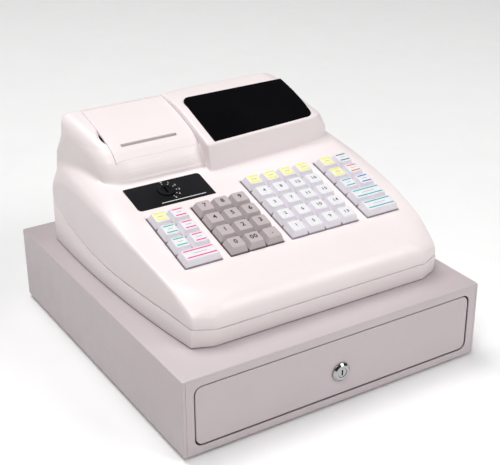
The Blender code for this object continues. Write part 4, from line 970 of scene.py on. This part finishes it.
def carried_over():
    """The drawer and the works keep their CAD shapes, with rounded edges."""
    drawer = {"drawer_front": ("drawer_paint", 0.35), "drawer_tray": ("zinc_steel", 0.25),
              "cash_till": ("till_plastic", 0.45), "clip_rod": ("zinc_steel", 0.2),
              "lock_barrel": ("chrome", 0.2)}
    for node, (slot, width) in drawer.items():
        refined(node, slot, "drawer", width)
    refined("drawer_case", "drawer_paint", "register", 0.3, case_folds())
    register = {"rail_left": ("zinc_steel", 0.2),
                "rail_right": ("zinc_steel", 0.2), "release_solenoid": ("black_plastic", 0.3),
                "printer_frame": ("black_plastic", 0.4), "display_board": ("circuit_board", 0.15),
                "main_board": ("circuit_board", 0.15), "power_inlet": ("black_plastic", 0.5),
                "foot_front_left": ("black_rubber", 0.6), "foot_front_right": ("black_rubber", 0.6),
                "foot_rear_left": ("black_rubber", 0.6), "foot_rear_right": ("black_rubber", 0.6)}
    for node, (slot, width) in register.items():
        refined(node, slot, "register", width)
    alone = {"lock_plug": ("chrome", 0.15, "drawer_lock"), "latch_lever": ("zinc_steel", 0.2, "latch_lever"),
             "paper_roll": ("thermal_paper", 0.3, "paper_roll"),
             "platen_roller": ("black_rubber", 0.3, "platen_roller"),
             "roller_left": ("till_plastic", 0.3, "roller_left"),
             "roller_right": ("till_plastic", 0.3, "roller_right")}
    alone.update({f"note_clip_{k}": ("till_plastic", 0.3, f"note_clip_{k}") for k in (1, 2, 3, 4)})
    for node, (slot, width, body) in alone.items():
        refined(node, slot, body, width)


# ======================================================================= stage
def area_light(name, place, aim, size, power, colour=(1.0, 1.0, 1.0)):
    """Square lamp that faces a point."""
    lamp = bpy.data.lights.new(name, "AREA")
    lamp.size = size
    lamp.energy = power
    lamp.color = colour
    made = bpy.data.objects.new(name, lamp)
    made.location = place
    made.rotation_euler = (Vector(aim) - Vector(place)).to_track_quat("-Z", "Y").to_euler()
    bpy.context.scene.collection.objects.link(made)


def stage():
    """Pale floor, a faint white surround and three soft lamps."""
    mesh = bpy.data.meshes.new("floor")
    reach = 6.0
    mesh.from_pydata([(-reach, -reach, 0), (reach, -reach, 0), (reach, reach, 0), (-reach, reach, 0)], [],
                     [(0, 1, 2, 3)])
    floor = make_object("floor", mesh, [finish("floor", (0.94, 0.94, 0.94), 0.65, tint=0.01, grain=60.0,
                                               grain_depth=0.0)])
    world = bpy.data.worlds.new("studio")
    world.use_nodes = True
    world.node_tree.nodes["Background"].inputs["Color"].default_value = (1.0, 1.0, 1.0, 1.0)
    world.node_tree.nodes["Background"].inputs["Strength"].default_value = 0.05
    bpy.context.scene.world = world
    bpy.context.scene.view_settings.view_transform = "Standard"
    aim = (0.0, 0.0, 0.12)
    area_light("top", (-0.6, 0.9, 3.8), aim, 2.2, 104.0, (1.0, 0.992, 0.988))
    area_light("right", (1.8, -2.6, 2.4), aim, 1.6, 56.0)
    area_light("left", (-1.7, -1.7, 3.2), aim, 1.6, 54.0)


def camera():
    """A long lens from the front left, a little above."""
    place = (-0.53278, -0.88101, 0.60312)
    turn, rise, roll = (math.radians(a) for a in (-31.752, 25.672, -0.332))
    lens = bpy.data.cameras.new("camera")
    lens.lens = 80.99
    lens.sensor_width = 36.0
    lens.clip_end = 50.0
    made = bpy.data.objects.new("camera", lens)
    right = Vector((math.cos(turn), math.sin(turn), 0.0))
    back = Vector((math.sin(turn) * math.cos(rise), -math.cos(turn) * math.cos(rise), math.sin(rise)))
    up = back.cross(right)
    axes = (math.cos(roll) * right + math.sin(roll) * up, -math.sin(roll) * right + math.cos(roll) * up, back)
    pose = Matrix([axes[k] for k in range(3)]).transposed().to_4x4()
    made.matrix_world = Matrix.Translation(place) @ pose
    bpy.context.scene.collection.objects.link(made)
    bpy.context.scene.camera = made


camera()
stage()
top_cover()
printer_lid()
base_housing()
keyboard()
mode_panel()
mode_lock()
display_window()
carried_over()
